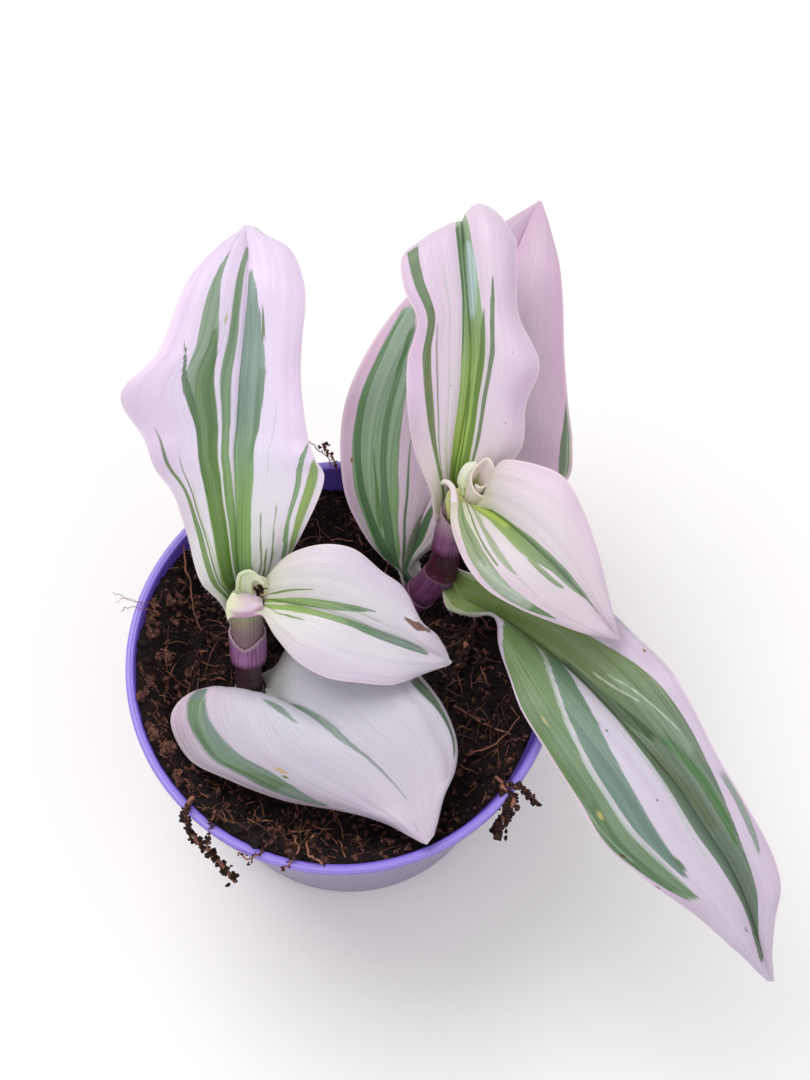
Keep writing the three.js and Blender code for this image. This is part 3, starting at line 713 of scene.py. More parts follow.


# %% [markdown]
# The stripes are held as they were traced in enlarged crops of the photo. Each has a tone
# and its two edges, as short lines of picture pixels (x to the right, y down). Where the photo
# hides or foreshortens a stripe it is given straight away in rows of (how far along, left edge,
# right edge), in parts of the blade. The tone names are those of a plant painter: deep, moss,
# sage and lime greens, pale lines over them, a faint trace, and brown for a dry tear.

# %% Traced stripes
TRACED = {
    "left_leaf_tall": [
        ("tallsage",
         [(228, 252), (204, 295), (197, 320), (186, 385), (191.5, 420), (196, 440), (201.5, 480),
          (217.5, 560), (226, 597)],
         [(230, 252), (228, 260), (223.5, 270), (218, 295), (219, 305), (217, 358), (217, 420),
          (217.5, 440), (222, 500), (226, 520), (237, 597)]),
        ("tallmoss",
         [(201, 425), (200, 460), (203, 480), (226, 592)],
         [(207, 425), (214, 440), (218, 460), (221, 500), (229, 540), (236, 592)]),
        ("deep",
         [(183, 338), (182, 355), (185, 385), (196, 440), (202, 480), (206, 500)],
         [(185, 338), (189, 370), (195, 385), (199, 400), (206, 440), (208, 460), (209, 500)]),
        ("tallmoss",
         [(212, 325), (198, 365), (194, 385), (198, 440), (207, 500)],
         [(217, 325), (217.5, 440), (220, 500)]),
        ("grass",
         [(245, 247), (239, 258), (238, 270), (224, 340), (221.5, 360), (220.5, 380), (220, 440),
          (221.5, 480), (223, 500), (227, 520), (232, 562)],
         [(248.5, 247), (246, 258), (240, 300), (229, 420), (229, 440), (231, 480), (239, 562)]),
        ("shade",
         [(233, 310), (228, 340), (221, 420), (224, 500)],
         [(237, 310), (231, 340), (224, 420), (227, 500)]),
        ("tallblue",
         [(250, 268), (239.5, 367), (237, 400), (234, 420), (233, 440), (232.5, 460), (238, 572)],
         [(253, 268), (260, 306), (261, 325), (266, 338), (266, 352), (268, 367), (264, 400), (254, 460),
          (252, 520), (253, 572)]),
        ("shade", [(259, 366), (250, 440), (248, 465)], [(268, 366), (264, 400), (257, 440), (254, 465)]),
        ("shade",
         [(250, 300), (249, 340), (242, 420), (240, 460), (242, 540)],
         [(254, 300), (253, 340), (250, 380), (245, 420), (243, 460), (244.5, 540)]),
        ("moss", [(262.5, 302), (261, 345)], [(264, 302), (266, 345)]),
        ("russet", [(218.5, 491), (224, 522)], [(220.5, 491), (226, 522)]),
        ("moss",
         [(151.5, 424), (152.5, 430), (163, 460), (169, 470), (177, 480), (182.5, 490), (191, 510),
          (197, 530), (198, 540), (202.5, 560), (206, 570), (218, 592)],
         [(153.5, 424), (163.5, 450), (181.5, 480), (195.5, 510), (202, 530), (206, 550), (209, 560),
          (213, 570), (224, 592)]),
        ("moss",
         [(178, 455), (203, 535), (220, 586)],
         [(179.8, 455), (187, 475), (210.5, 550), (223.5, 586)]),
        ("faint", [(189.5, 480), (201, 520), (213, 556)], [(191, 480), (203, 520), (215.5, 556)]),
        ("faint", [(277, 400), (265, 480)], [(278, 400), (266.5, 480)]),
        ("moss", [(260.5, 508), (259.5, 525), (260.5, 562)], [(262.3, 508), (263, 562)]),
        ("moss", [(276, 500), (272, 540), (268, 568)], [(277.3, 500), (274.7, 540), (270.5, 568)]),
        ("moss", [(266, 546), (263.5, 560), (262.5, 573)], [(268, 546), (265, 573)]),
        ("sage",
         [(309, 440), (297, 462), (291, 480), (286, 520), (279, 565)],
         [(313, 440), (298, 480), (288, 540), (282.5, 565)]),
        ("lime",
         [(318, 455), (309, 465), (303, 475), (299, 490), (292.5, 530), (286, 556)],
         [(323, 455), (322, 465), (314, 480), (310, 490), (304, 520), (298.5, 540), (295, 549),
          (291, 556)]),
        ("grey", [(254, 227), (260, 229), (267, 235)], [(254, 229), (266, 238)]),
    ],
    "right_leaf_upright": [
        ("moss",
         [(407, 255), (408, 262), (413, 280), (421, 300), (424, 310), (425, 320), (423, 360), (423, 400),
          (426, 420), (432, 440), (438, 470), (439, 482)],
         [(419, 255), (419.5, 262), (421.5, 270), (429.5, 290), (432.5, 300), (433.5, 310), (433.5, 340),
          (432, 380), (432.5, 400), (441.5, 482)]),
        ("ash",
         [(427, 305), (423.5, 360), (423.5, 400), (426.5, 420), (432.5, 440), (438.3, 470)],
         [(432.5, 305), (433, 340), (431.5, 380), (432, 400), (436, 440), (440.3, 470)]),
        ("ash",
         [(436, 323), (435, 380), (438.5, 450), (441, 482)],
         [(438, 323), (438.5, 400), (442.3, 482)]),
        ("faint",
         [(442, 265), (445, 280), (448, 320), (448.5, 340), (448, 380), (444.5, 462)],
         [(443.5, 265), (446.5, 280), (450, 320), (449.7, 380), (446.5, 462)]),
        ("uplime",
         [(457, 222), (455, 230), (460, 280), (461, 300), (460, 360), (459, 380), (455, 420), (452, 440),
          (448, 484)],
         [(468, 222), (477.5, 260), (480, 280), (481, 308), (486.5, 315), (487, 325), (487, 340),
          (485.5, 360), (478, 420), (471, 460), (468, 484)]),
        ("glow",
         [(468, 335), (462, 400), (453, 474)],
         [(474, 335), (472.5, 360), (468.5, 400), (464, 440), (459, 474)]),
        # Painted highlight: the pale blue-grey gloss at the top of the central band.
        ("sheen", [(465, 240), (466, 290), (469, 322)], [(473, 240), (480, 270), (480, 305), (478, 322)]),
        ("deep",
         [(454.5, 228), (460, 280), (461, 300), (460, 362)],
         [(458.5, 228), (463.2, 280), (464, 300), (462.3, 362)]),
        ("pale", [(458.5, 222), (459, 235), (461, 248)], [(461.5, 222), (461.2, 235), (462.8, 248)]),
        ("deep", [(462, 221), (461.8, 240), (464, 252)], [(465, 221), (467.5, 252)]),
        ("moss",
         [(483.5, 308), (480.5, 325), (480, 345), (472, 420), (463, 464)],
         [(486.3, 308), (486.5, 345), (485.3, 365), (477.8, 420), (470, 464)]),
        ("deep", [(470.5, 378), (467, 420), (461, 462)], [(473, 378), (472, 400), (463, 462)]),
        ("pale",
         [(487.5, 335), (486.3, 360), (484, 380), (473, 455)],
         [(489.5, 335), (488.3, 360), (486, 380), (480.4, 420), (474.3, 455)]),
        ("deep",
         [(492, 275), (489, 360), (480.5, 420), (472, 462)],
         [(493.2, 275), (493.6, 288), (495.3, 295), (496.2, 310), (494.8, 350), (488.2, 400), (479, 450),
          (475, 462)]),
    ],
    "right_leaf_back": [
        ("sage",
         [(405, 305), (399, 320), (379.5, 350), (369, 370), (354.5, 420), (351, 440), (351, 460),
          (353, 480), (358, 500), (365, 520), (389, 570)],
         [(416, 305), (420, 320), (418, 340), (416, 350), (412, 360), (410, 370), (407, 400), (400, 440),
          (398.5, 460), (400, 570)]),
        ("mist",
         [(347.5, 450), (350.5, 490), (354, 510), (361, 530), (369, 545), (378, 558)],
         [(351, 450), (352.5, 470), (356, 490), (362, 510), (370, 530), (386, 558)]),
        ("forest",
         [(404, 310), (370.5, 370), (366, 380), (360, 400), (358.5, 410), (355, 420), (352, 440),
          (353, 460), (361, 500), (367, 520), (371, 530), (386, 560), (390, 572)],
         [(407, 310), (394.5, 340), (382, 360), (377.5, 370), (372.5, 390), (369, 400), (367, 410),
          (362.5, 420), (361.5, 440), (361.5, 460), (362.5, 470), (368.5, 500), (371.5, 510),
          (379.5, 530), (396, 560), (399, 572)]),
        ("forest",
         [(411, 325), (402, 350), (397, 370), (382, 420), (380, 440), (380, 500), (382, 520), (386, 540),
          (388, 560)],
         [(416.5, 325), (409, 350), (407.5, 360), (400.5, 380), (388, 440), (386.5, 460), (387.5, 480),
          (389.5, 500), (394.5, 530), (397.5, 560)]),
        ("deep",
         [(373, 448), (374, 490), (376, 510), (380, 532)],
         [(375, 448), (378.5, 490), (384.5, 532)]),
        ("forest",
         [(412, 430), (408, 450), (407, 460), (401, 556)],
         [(413.6, 430), (413.2, 440), (410, 460), (409.7, 480), (403.5, 556)]),
        ("forest",
         [(434, 502), (415, 540), (401.5, 570)],
         [(440, 502), (438, 510), (433.5, 520), (423.5, 540), (406.5, 570)]),
        ("shade",
         [(419, 513), (407.5, 540), (402.5, 556)],
         [(423.5, 513), (420.5, 525), (413.5, 540), (408, 556)]),
        ("deep",
         [(0.37, 0.98, 1.05), (0.4, 0.92, 1.05), (0.46, 0.88, 1.05), (0.52, 0.9, 1.05),
          (0.57, 0.95, 1.05), (0.61, 1, 1.05)]),
        ("pale", [(0.39, 0.955, 0.975), (0.46, 0.94, 0.965), (0.53, 0.95, 0.97), (0.58, 0.985, 1)]),
    ],
    "right_leaf_small": [
        ("smallgreen",
         [(459, 503), (458.5, 520), (460, 535), (468, 557), (480, 575), (505, 599), (515, 606),
          (545, 617), (557, 619)],
         [(461, 501), (466, 515), (481, 545), (495, 567), (503, 577), (515, 589), (525, 597), (552, 615),
          (558, 618)]),
        ("mist", [(474, 562), (482, 572), (504, 595), (516, 603)], [(483, 556), (502, 577), (526, 598)]),
        ("shade",
         [(462, 512), (464, 528), (470, 545), (478, 560), (486, 570)],
         [(464.5, 512), (468, 528), (474, 543), (490, 567)]),
        ("pale", [(462, 506), (467, 519), (479, 543)], [(464, 506), (481, 541)]),
        ("moss", [(526, 610), (557, 619)], [(530, 602), (540, 607), (557, 618)]),
        ("moss", [(470, 517), (479, 541), (491, 560), (498, 568)], [(472, 516), (482, 540), (501, 567)]),
        ("smallsage",
         [(474, 514), (482, 535), (502, 567), (509, 575), (516, 576)],
         [(477, 513), (506, 559), (519, 575)]),
        ("faint", [(513, 575), (538, 598)], [(516, 574), (539, 596)]),
        ("faint", [(476, 511), (483, 525)], [(478, 510), (485, 524)]),
        ("smallmoss",
         [(470, 509.5), (476, 511.5), (483, 515.5), (490, 522), (510, 544), (526, 559.5), (534, 566),
          (545, 566.5), (552, 572), (558, 579), (580, 598.5), (588, 600.5), (603, 619)],
         [(470, 506.5), (478, 505.5), (484, 506), (497, 510.5), (512, 520.5), (530, 534.5), (550, 552),
          (570, 572.5), (588, 595.5), (604, 619)]),
        ("smallmoss",
         [(524, 557), (548, 582.5), (555, 588.5), (563, 590.5)],
         [(528, 556), (545, 570), (558, 583), (565, 588)]),
        ("shade",
         [(497, 515), (534, 549), (570, 586)],
         [(497, 511), (514, 522), (546, 548.5), (558, 559.5), (570, 572.5)]),
        ("glow",
         [(0.07, 0.16, 0.34), (0.13, 0.013, 0.315), (0.191, -0.032, 0.246), (0.251, -0.03, 0.177),
          (0.311, -0.03, 0.14)]),
        ("faint", [(520, 538), (540, 556)], [(521, 536.5), (541, 554.5)]),
    ],
    "left_leaf_front": [
        ("moss",
         [(0.053, -0.151, -0.129), (0.109, -0.19, -0.154), (0.164, -0.262, -0.194),
          (0.22, -0.303, -0.238), (0.275, -0.31, -0.26), (0.331, -0.31, -0.28)]),
        ("frontlime",
         [(267, 603.5), (280, 604.5), (305, 604.5), (345, 612.5), (355, 613.7), (368, 611), (377, 612)],
         [(268, 598), (295, 596), (310, 596.5), (325, 598.5), (350, 603.5), (377, 610.5)]),
        ("shade",
         [(340, 608), (350, 611), (360, 612.5), (366, 611)],
         [(340, 604), (350, 605), (367, 609.5)]),
        ("faint", [(352, 612), (382, 622)], [(354, 609), (382, 620)]),
        ("frontlime",
         [(268, 609), (290, 611.5), (337, 622), (375, 638), (385, 641), (400, 648.7), (415, 652),
          (427, 656)],
         [(268, 605), (290, 605), (302, 606.5), (350, 618.5), (372, 626.5), (418, 646.5), (428, 653.5)]),
        ("mist", [(372, 629), (416, 648)], [(372, 625.5), (418, 645)]),
        ("grey", [(374, 637.5), (385, 641), (400, 648.7), (420, 653.5)], [(374, 632), (422, 652)]),
        ("shade", [(345, 625), (376, 638.5)], [(345, 618.5), (355, 622), (376, 632)]),
        ("moss", [(278, 614.8), (305, 622)], [(278, 613), (286, 614), (306, 620)]),
        ("brown",
         [(0.65, -0.39, -0.37), (0.706, -0.516, -0.356), (0.762, -0.742, -0.562), (0.82, -0.91, -0.76)]),
    ],
    "left_leaf_low": [
        # Painted shade: a soft mauve-grey wash over the right part of the blade, near its edge.
        ("dusk",
         [(0.41, -0.51, -0.42), (0.53, -0.49, -0.346), (0.646, -0.473, -0.307), (0.76, -0.52, -0.304),
          (0.82, -0.55, -0.3)]),
        ("lowmist",
         [(328, 806), (290, 798), (266, 789), (218, 763), (208, 755), (200, 746), (193, 736), (189, 726),
          (187, 715), (187, 705), (190, 695), (195, 687)],
         [(328, 803.5), (296, 786), (280, 773.5), (268, 768.5), (258, 763), (225, 739), (217, 730),
          (212, 720), (209, 710), (208, 700), (212, 690)]),
        ("shade",
         [(276, 791), (230, 769), (216, 759), (205, 749), (196, 739), (190, 729), (187, 715), (187, 700)],
         [(282, 778), (268, 771), (252, 766), (238, 760), (225, 752), (215, 742), (207, 733), (204, 722),
          (205, 712), (209, 698)]),
        ("lowdark", [(274, 790), (230, 769), (216, 759)], [(280, 780), (268, 774), (240, 767), (226, 760)]),
        ("lowdark", [(214, 756), (205, 748), (197, 738), (193, 728)], [(218, 752), (209, 742), (198, 722)]),
        ("grey",
         [(0.106, 0.074, 0.096), (0.162, 0.035, 0.06), (0.219, -0.02, 0.075), (0.275, -0.04, 0.086),
          (0.33, -0.036, 0.066), (0.445, -0.03, 0.048), (0.557, -0.027, 0.013), (0.67, -0.025, 0.007),
          (0.727, -0.033, -0.007), (0.783, -0.05, -0.03)]),
        ("grey",
         [(262, 701.5), (284, 717.5), (289, 722.5), (297, 724.5)],
         [(262, 699.5), (272, 701.5), (280, 705.5), (298, 722)]),
        # Painted shade: the turned-down margin band, painted near black as the shade of the fold.
        ("fold",
         [(0.473, -0.75, -0.5), (0.53, -0.718, -0.493), (0.585, -0.673, -0.502), (0.64, -0.64, -0.517),
          (0.7, -0.6, -0.506), (0.753, -0.55, -0.48)]),
        ("pale", [(0.56, 0.52, 0.55), (0.57, 0.5, 0.55), (0.58, 0.5, 0.53)]),
    ],
    "right_leaf_long": [
        ("longgrass",
         [(500, 619), (500, 640), (505, 662), (511, 680), (520, 700), (527, 725), (541, 747), (560, 772),
          (580, 803), (597, 833), (615, 858), (640, 878), (660, 890), (690, 902)],
         [(512, 620), (535, 645), (545, 665), (551, 690), (583, 760), (596, 785), (613, 810), (631, 832),
          (651, 852), (699, 897)]),
        ("deep",
         [(583, 796), (608, 843), (625, 862), (650, 880), (676, 894)],
         [(591, 796), (602, 811), (614, 833), (631, 853), (656, 873), (684, 891)]),
        ("moss", [(528, 726), (542, 748), (561, 774), (580, 803)], [(540, 722), (590, 800)]),
        ("vein",
         [(583, 808), (597, 828), (614, 848), (634, 864)],
         [(586, 806), (600, 826), (617, 845), (637, 862)]),
        ("teal",
         [(538, 648), (548, 667), (555, 690), (564, 711), (586, 759), (599, 784), (616, 809), (634, 831),
          (653, 850), (686, 880)],
         [(553, 652), (566, 670), (597, 720), (606, 740), (636, 799), (649, 815), (670, 850), (682, 862),
          (690, 878)]),
        ("vein",
         [(533, 643), (543, 665), (549, 690), (581, 761), (594, 786), (611, 812), (629, 834), (649, 855),
          (697, 898)],
         [(537, 644), (547, 664), (554, 688), (564, 711), (586, 758), (599, 783), (616, 808), (634, 830),
          (653, 850), (673, 868), (699, 896)]),
        ("deep", [(668, 855), (677, 864), (684, 873)], [(671, 852), (681, 861), (688, 872)]),
        ("mist",
         [(617, 725), (650, 771), (697, 851), (713, 875)],
         [(623, 722), (641, 745), (658, 769), (690, 823), (704, 849), (716, 874)]),
        ("longmoss",
         [(440, 590), (460, 608), (500, 620), (560, 661), (615, 716), (630, 736), (660, 786), (680, 806),
          (725, 881), (738, 897), (753, 930), (760, 963)],
         [(470, 575), (480, 580), (500, 600), (530, 615), (560, 623), (610, 640), (630, 655), (650, 675),
          (690, 722), (705, 748), (748, 860), (757, 890), (762, 920), (763, 963)]),
        # Painted shade: a dark band along the margin that stands for the shaded side of a fold.
        ("fold",
         [(558, 662), (580, 681), (600, 701), (620, 719), (656, 744)],
         [(562, 654), (584, 671), (606, 690), (646, 722), (660, 736)]),
        ("ash",
         [(640, 748), (662, 768), (680, 788), (714, 832)],
         [(652, 744), (672, 764), (690, 784), (708, 806), (721, 826)]),
        ("forest",
         [(655, 735), (674, 753), (692, 772), (706, 790), (720, 812), (731, 834), (736, 848)],
         [(666, 735), (684, 751), (700, 768), (714, 786), (728, 808), (737, 830), (739, 846)]),
        ("lightsage", [(600, 676), (645, 708), (684, 748)], [(618, 672), (662, 707), (700, 751)]),
        ("pale",
         [(588, 670), (604, 683), (622, 692), (642, 704)],
         [(590, 668), (606, 680.5), (624, 689.5), (644, 701.5)]),
        ("pale",
         [(604, 674), (624, 684), (645, 699), (680, 733)],
         [(606, 672), (626, 682), (647, 697), (682, 731)]),
        ("shade", [(716, 770), (740, 812), (758, 858)], [(722, 768), (748, 810), (757, 834), (761, 856)]),
        ("steel", [(0.306, -1.05, -0.95), (0.447, -1.05, -0.95)]),
    ],
}

# %% [markdown]
# The camera is known, so each spot of a traced edge is looked up on its blade: among the spots of a
# fine grid over the blade, it is the nearest one in the picture that isn't behind a fold. The
# edges then become rows in parts of the blade too. A Float Curve node draws each edge later on,
# so a stripe stays sharp however close one looks.

# %% From the picture to the blade
# In pixels: how far apart the spots of an edge are looked up, how near the blade has to come to
# one, and how much farther than the nearest a spot may be.
SPACING = 12
NEARBY = 2
SLACK = 0.8
# In millimetres: what lies deeper than this behind the front of the blade is hidden by a fold.
FOLD_DEPTH = 4
# In parts of the blade, and as counts: the rows of a stripe.
CLOSEST_ROWS = 0.006
ROW_STEP = 0.055
FEWEST_ROWS = 3
MOST_ROWS = 14
NARROWEST = 0.011


def seen_at(points):
    """Picture x and y in pixels, and the distance in front of the camera, of points in millimetres."""
    offset = points - np.array(CAMERA_PLACE) / MM
    up = np.array([0, math.cos(CAMERA_TILT), math.sin(CAMERA_TILT)])
    ahead = np.array([0, math.sin(CAMERA_TILT), -math.cos(CAMERA_TILT)])
    depth = offset @ ahead
    focal = LENS / SENSOR * PICTURE_HEIGHT
    x = PICTURE_WIDTH / 2 + focal * offset[..., 0] / depth
    y = PICTURE_HEIGHT / 2 - focal * (offset @ up) / depth
    return x, y, depth


def spaced(line):
    """The line with more spots on it, so that it can follow a curved blade."""
    line = np.array(line, float)
    spots = []
    for start, end in zip(line, line[1:]):
        count = max(round(math.dist(start, end) / SPACING), 1)
        spots.extend(start + (end - start) * step / count for step in range(count))
    return [*spots, line[-1]]


def edge_on_blade(line, seen, us, vs):
    """How far along and how far across the blade a traced edge runs, by rising distance along."""
    x, y, depth = seen
    found = []
    for spot in spaced(line):
        apart = np.hypot(x - spot[0], y - spot[1])
        near = apart < max(NEARBY, apart.min() + SLACK)
        hidden = depth > depth[near].min() + FOLD_DEPTH
        best = np.where(near & ~hidden, apart, np.inf).argmin()
        row, column = np.unravel_index(best, apart.shape)
        found.append((vs[row], us[column]))
    found.sort()
    along, across = [], []
    for v, u in found:
        if along and v - along[-1] < CLOSEST_ROWS:
            across[-1] = (across[-1] + u) / 2
        else:
            along.append(v)
            across.append(u)
    return along, across


def stripe_rows(edges, seen, us, vs):
    """Rows of (how far along, left edge, right edge), at even steps and a little smoothed."""
    (along_a, across_a), (along_b, across_b) = [edge_on_blade(line, seen, us, vs) for line in edges]
    start = min(along_a[0], along_b[0])
    end = max(along_a[-1], along_b[-1])
    count = int(np.clip(round((end - start) / ROW_STEP) + 1, FEWEST_ROWS, MOST_ROWS))
    places = np.linspace(start, end, count)
    sides = [np.interp(places, along_a, across_a), np.interp(places, along_b, across_b)]
    if count > 4:
        for side in sides:
            side[1:-1] = (side[:-2] + 2 * side[1:-1] + side[2:]) / 4
    left, right = sorted(sides, key=np.mean)
    middle = (left + right) / 2
    half = np.maximum((right - left) / 2, NARROWEST)
    return [tuple(row) for row in np.column_stack([places, middle - half, middle + half])]


def stripes_on_blade(name):
    """Every stripe of a leaf as (tone, rows)."""
    us = np.linspace(-1, 1, 201)
    vs = np.linspace(0, 1, 501)
    rows, _ = blade_rows(LEAVES[name], us, vs)
    seen = seen_at(rows)
    stripes = []
    for tone, *shape in TRACED[name]:
        is_traced = len(shape) == 2
        stripes.append((tone, stripe_rows(shape, seen, us, vs) if is_traced else shape[0]))
    return stripes


STRIPES = {name: stripes_on_blade(name) for name in LEAVES}

# %% [markdown]
# A blade is painted by its UV map: a pale ground that blushes towards the margin and the tip, a
# green throat, the stripes one over the other, the small marks and a light rim. Each stripe has
# one colour near the sheath and another near the tip, and fine lines along the blade break it up.

# %% Leaf colours
# Each tone: colour near the base, colour near the tip, strength and softness of the edges.
TONES = {
    "deep": ("#466a24", "#486a42", 0.9, 0.008),
    "forest": ("#2c5a28", "#3f6c36", 0.95, 0.008),
    "moss": ("#62822a", "#587648", 0.92, 0.01),
    "shade": ("#55763a", "#5f7f66", 0.72, 0.018),
    "ash": ("#5a6634", "#5b6848", 0.8, 0.012),
    "sage": ("#6d9256", "#7b9a80", 0.94, 0.008),
    "grass": ("#6a9630", "#6b8a63", 0.94, 0.008),
    "lime": ("#7f9f2c", "#6f8c48", 0.92, 0.01),
    "steel": ("#8aa798", "#869f9a", 0.85, 0.012),
    "grey": ("#687d6c", "#6d7f78", 0.9, 0.01),
    "mist": ("#a9b9a8", "#a9b7b0", 0.55, 0.025),
    "tallsage": ("#64870f", "#7e967c", 0.94, 0.008),
    "tallblue": ("#6f9a42", "#768f84", 0.94, 0.008),
    "uplime": ("#93b234", "#7f9c70", 0.94, 0.008),
    "smallsage": ("#8a9a70", "#9dac98", 0.9, 0.012),
    "smallmoss": ("#7f9a38", "#7a9070", 0.94, 0.008),
    "frontlime": ("#83a344", "#6c8070", 0.95, 0.008),
    "longgrass": ("#5c7f2a", "#587850", 0.94, 0.01),
    "vein": ("#889f6c", "#a2b4a8", 0.6, 0.012),
    "smallgreen": ("#7d9058", "#93a48e", 0.92, 0.01),
    "tallmoss": ("#54780a", "#587648", 0.92, 0.01),
    "teal": ("#44703a", "#56786a", 0.92, 0.012),
    # Painted shade: the green band on a margin that turns down, painted near black as the shade of the fold.
    "fold": ("#2c4218", "#34502c", 0.95, 0.02),
    "lowmist": ("#557066", "#667e70", 0.92, 0.014),
    # Painted shade: a mauve-grey wash for the part of the low leaf that lies in shade near its edge.
    "dusk": ("#988a99", "#988a99", 0.5, 0.06),
    "lowdark": ("#4b6440", "#4f663c", 0.75, 0.02),
    "longmoss": ("#6c8634", "#596f5a", 0.95, 0.008),
    "lightsage": ("#839b66", "#84988a", 0.5, 0.02),
    "glow": ("#b8d04c", "#a8c25c", 0.6, 0.03),
    # Painted highlight: a pale blue-grey glossy patch on a green band.
    "sheen": ("#b6cccd", "#b4cbcd", 0.85, 0.04),
    "pale": ("#bccaa2", "#c6cfcc", 0.75, 0.01),
    "faint": ("#9fb184", "#a6b5a4", 0.6, 0.008),
    "russet": ("#7d7434", "#7d7434", 0.6, 0.008),
    "brown": ("#6b3a20", "#6a3020", 0.95, 0.004),
}
# Each ground: along the rib, at the margin, at the throat, and how far up the throat colour goes.
GROUNDS = {
    # The low leaf's ground is painted darker and greyer: painted shade from the leaves above it.
    "left_leaf_low": ("#bcbbc7", "#c2afc2", "#a9afa0", 0.3),
    "left_leaf_tall": ("#dad2e6", "#dac5e2", "#ccd6c4", 0.5),
    "left_leaf_front": ("#cfccd2", "#cabcd0", "#cfd0b4", 0.42),
    "right_leaf_back": ("#cdbccb", "#c7a6c0", "#aebaa8", 0.3),
    "right_leaf_long": ("#c9c3d2", "#c4b2c8", "#7a9638", 0.3),
    "right_leaf_upright": ("#d5c8d6", "#cfb3d0", "#c6cca4", 0.36),
    "right_leaf_small": ("#cdc5cb", "#d2bdd0", "#bac282", 0.34),
}
# A used leaf has small marks: (u, v, width, length, colour), in parts of the blade.
SPOTS = {
    "right_leaf_long": [
        (0.86, 0.602, 0.022, 0.014, "#a9a05e"), (0.93, 0.68, 0.022, 0.008, "#4f3624"),
        (0.97, 0.748, 0.02, 0.006, "#6a5138"), (0.24, 0.472, 0.01, 0.004, "#6e6670"),
        (0.27, 0.585, 0.008, 0.004, "#6b6270"), (-0.32, 0.752, 0.01, 0.006, "#5b5345"),
        (-0.94, 0.838, 0.012, 0.005, "#6f6068"), (0.26, 0.848, 0.02, 0.01, "#8f8494"),
        (-0.92, 0.38, 0.014, 0.006, "#7b5a3c"), (0.8, 0.448, 0.016, 0.016, "#a8a878"),
        (-0.71, 0.565, 0.014, 0.005, "#7d6e62"),
    ],
    "right_leaf_back": [
        (0.01, 0.195, 0.014, 0.006, "#9b6a3c"), (-0.36, 0.172, 0.016, 0.007, "#8a5a34"),
        (-0.89, 0.405, 0.014, 0.008, "#8d5f38"),
    ],
    "left_leaf_low": [(0.6, 0.595, 0.022, 0.03, "#b9a27c"), (0.64, 0.62, 0.012, 0.012, "#5f6b2a")],
    "left_leaf_tall": [(-0.28, 0.698, 0.02, 0.012, "#b9b69c"), (0.8, 0.955, 0.05, 0.03, "#6e8470")],
    "right_leaf_upright": [
        (-0.31, 0.36, 0.006, 0.004, "#57474f"), (0.66, 0.3, 0.006, 0.004, "#6a3f66"),
        (0.61, 0.432, 0.005, 0.003, "#7a6a74"),
    ],
}


# Bands wider than this, in parts of the blade, end in a comb of veins on the tall leaf. Stripes
# narrower than the next don't show through on the underside. A stripe that begins lower than
# the last runs down into the sheath.
WIDE_BAND = 0.24
THIN_STRIPE = 0.12
FROM_BASE = 0.22
EDGED_TONES = ("deep", "moss", "sage", "lime", "longmoss", "tallmoss")


def edge_curve(tree, along, rows, side):
    node = put(tree, "ShaderNodeFloatCurve", {"Value": along})
    curve = node.mapping.curves[0]
    node.mapping.use_clip = False
    spots = [(row[0], (row[side] + 1) / 2) for row in rows]
    curve.points[0].location = spots[0]
    curve.points[-1].location = spots[-1]
    for spot in spots[1:-1]:
        curve.points.new(*spot)
    for point in curve.points:
        point.handle_type = "AUTO_CLAMPED"
    node.mapping.extend = "HORIZONTAL"
    node.mapping.update()
    return node.outputs[0]


def sheet_lines(tree, count, length):
    """The place across and along a sheet, and fine lines that run along it."""
    uv = put(tree, "ShaderNodeUVMap", uv_map="UVMap").outputs["UV"]
    parts = put(tree, "ShaderNodeSeparateXYZ", {0: uv}).outputs
    sockets = {"Across": parts["X"], "Along": parts["Y"], "Count": count, "Length": length}
    return parts["X"], parts["Y"], use_group(tree, LINES, sockets)


def set_flesh(skin, rough, weight):
    skin.inputs["Roughness"].default_value = rough
    skin.inputs["Subsurface Weight"].default_value = weight
    skin.inputs["Subsurface Scale"].default_value = 0.001


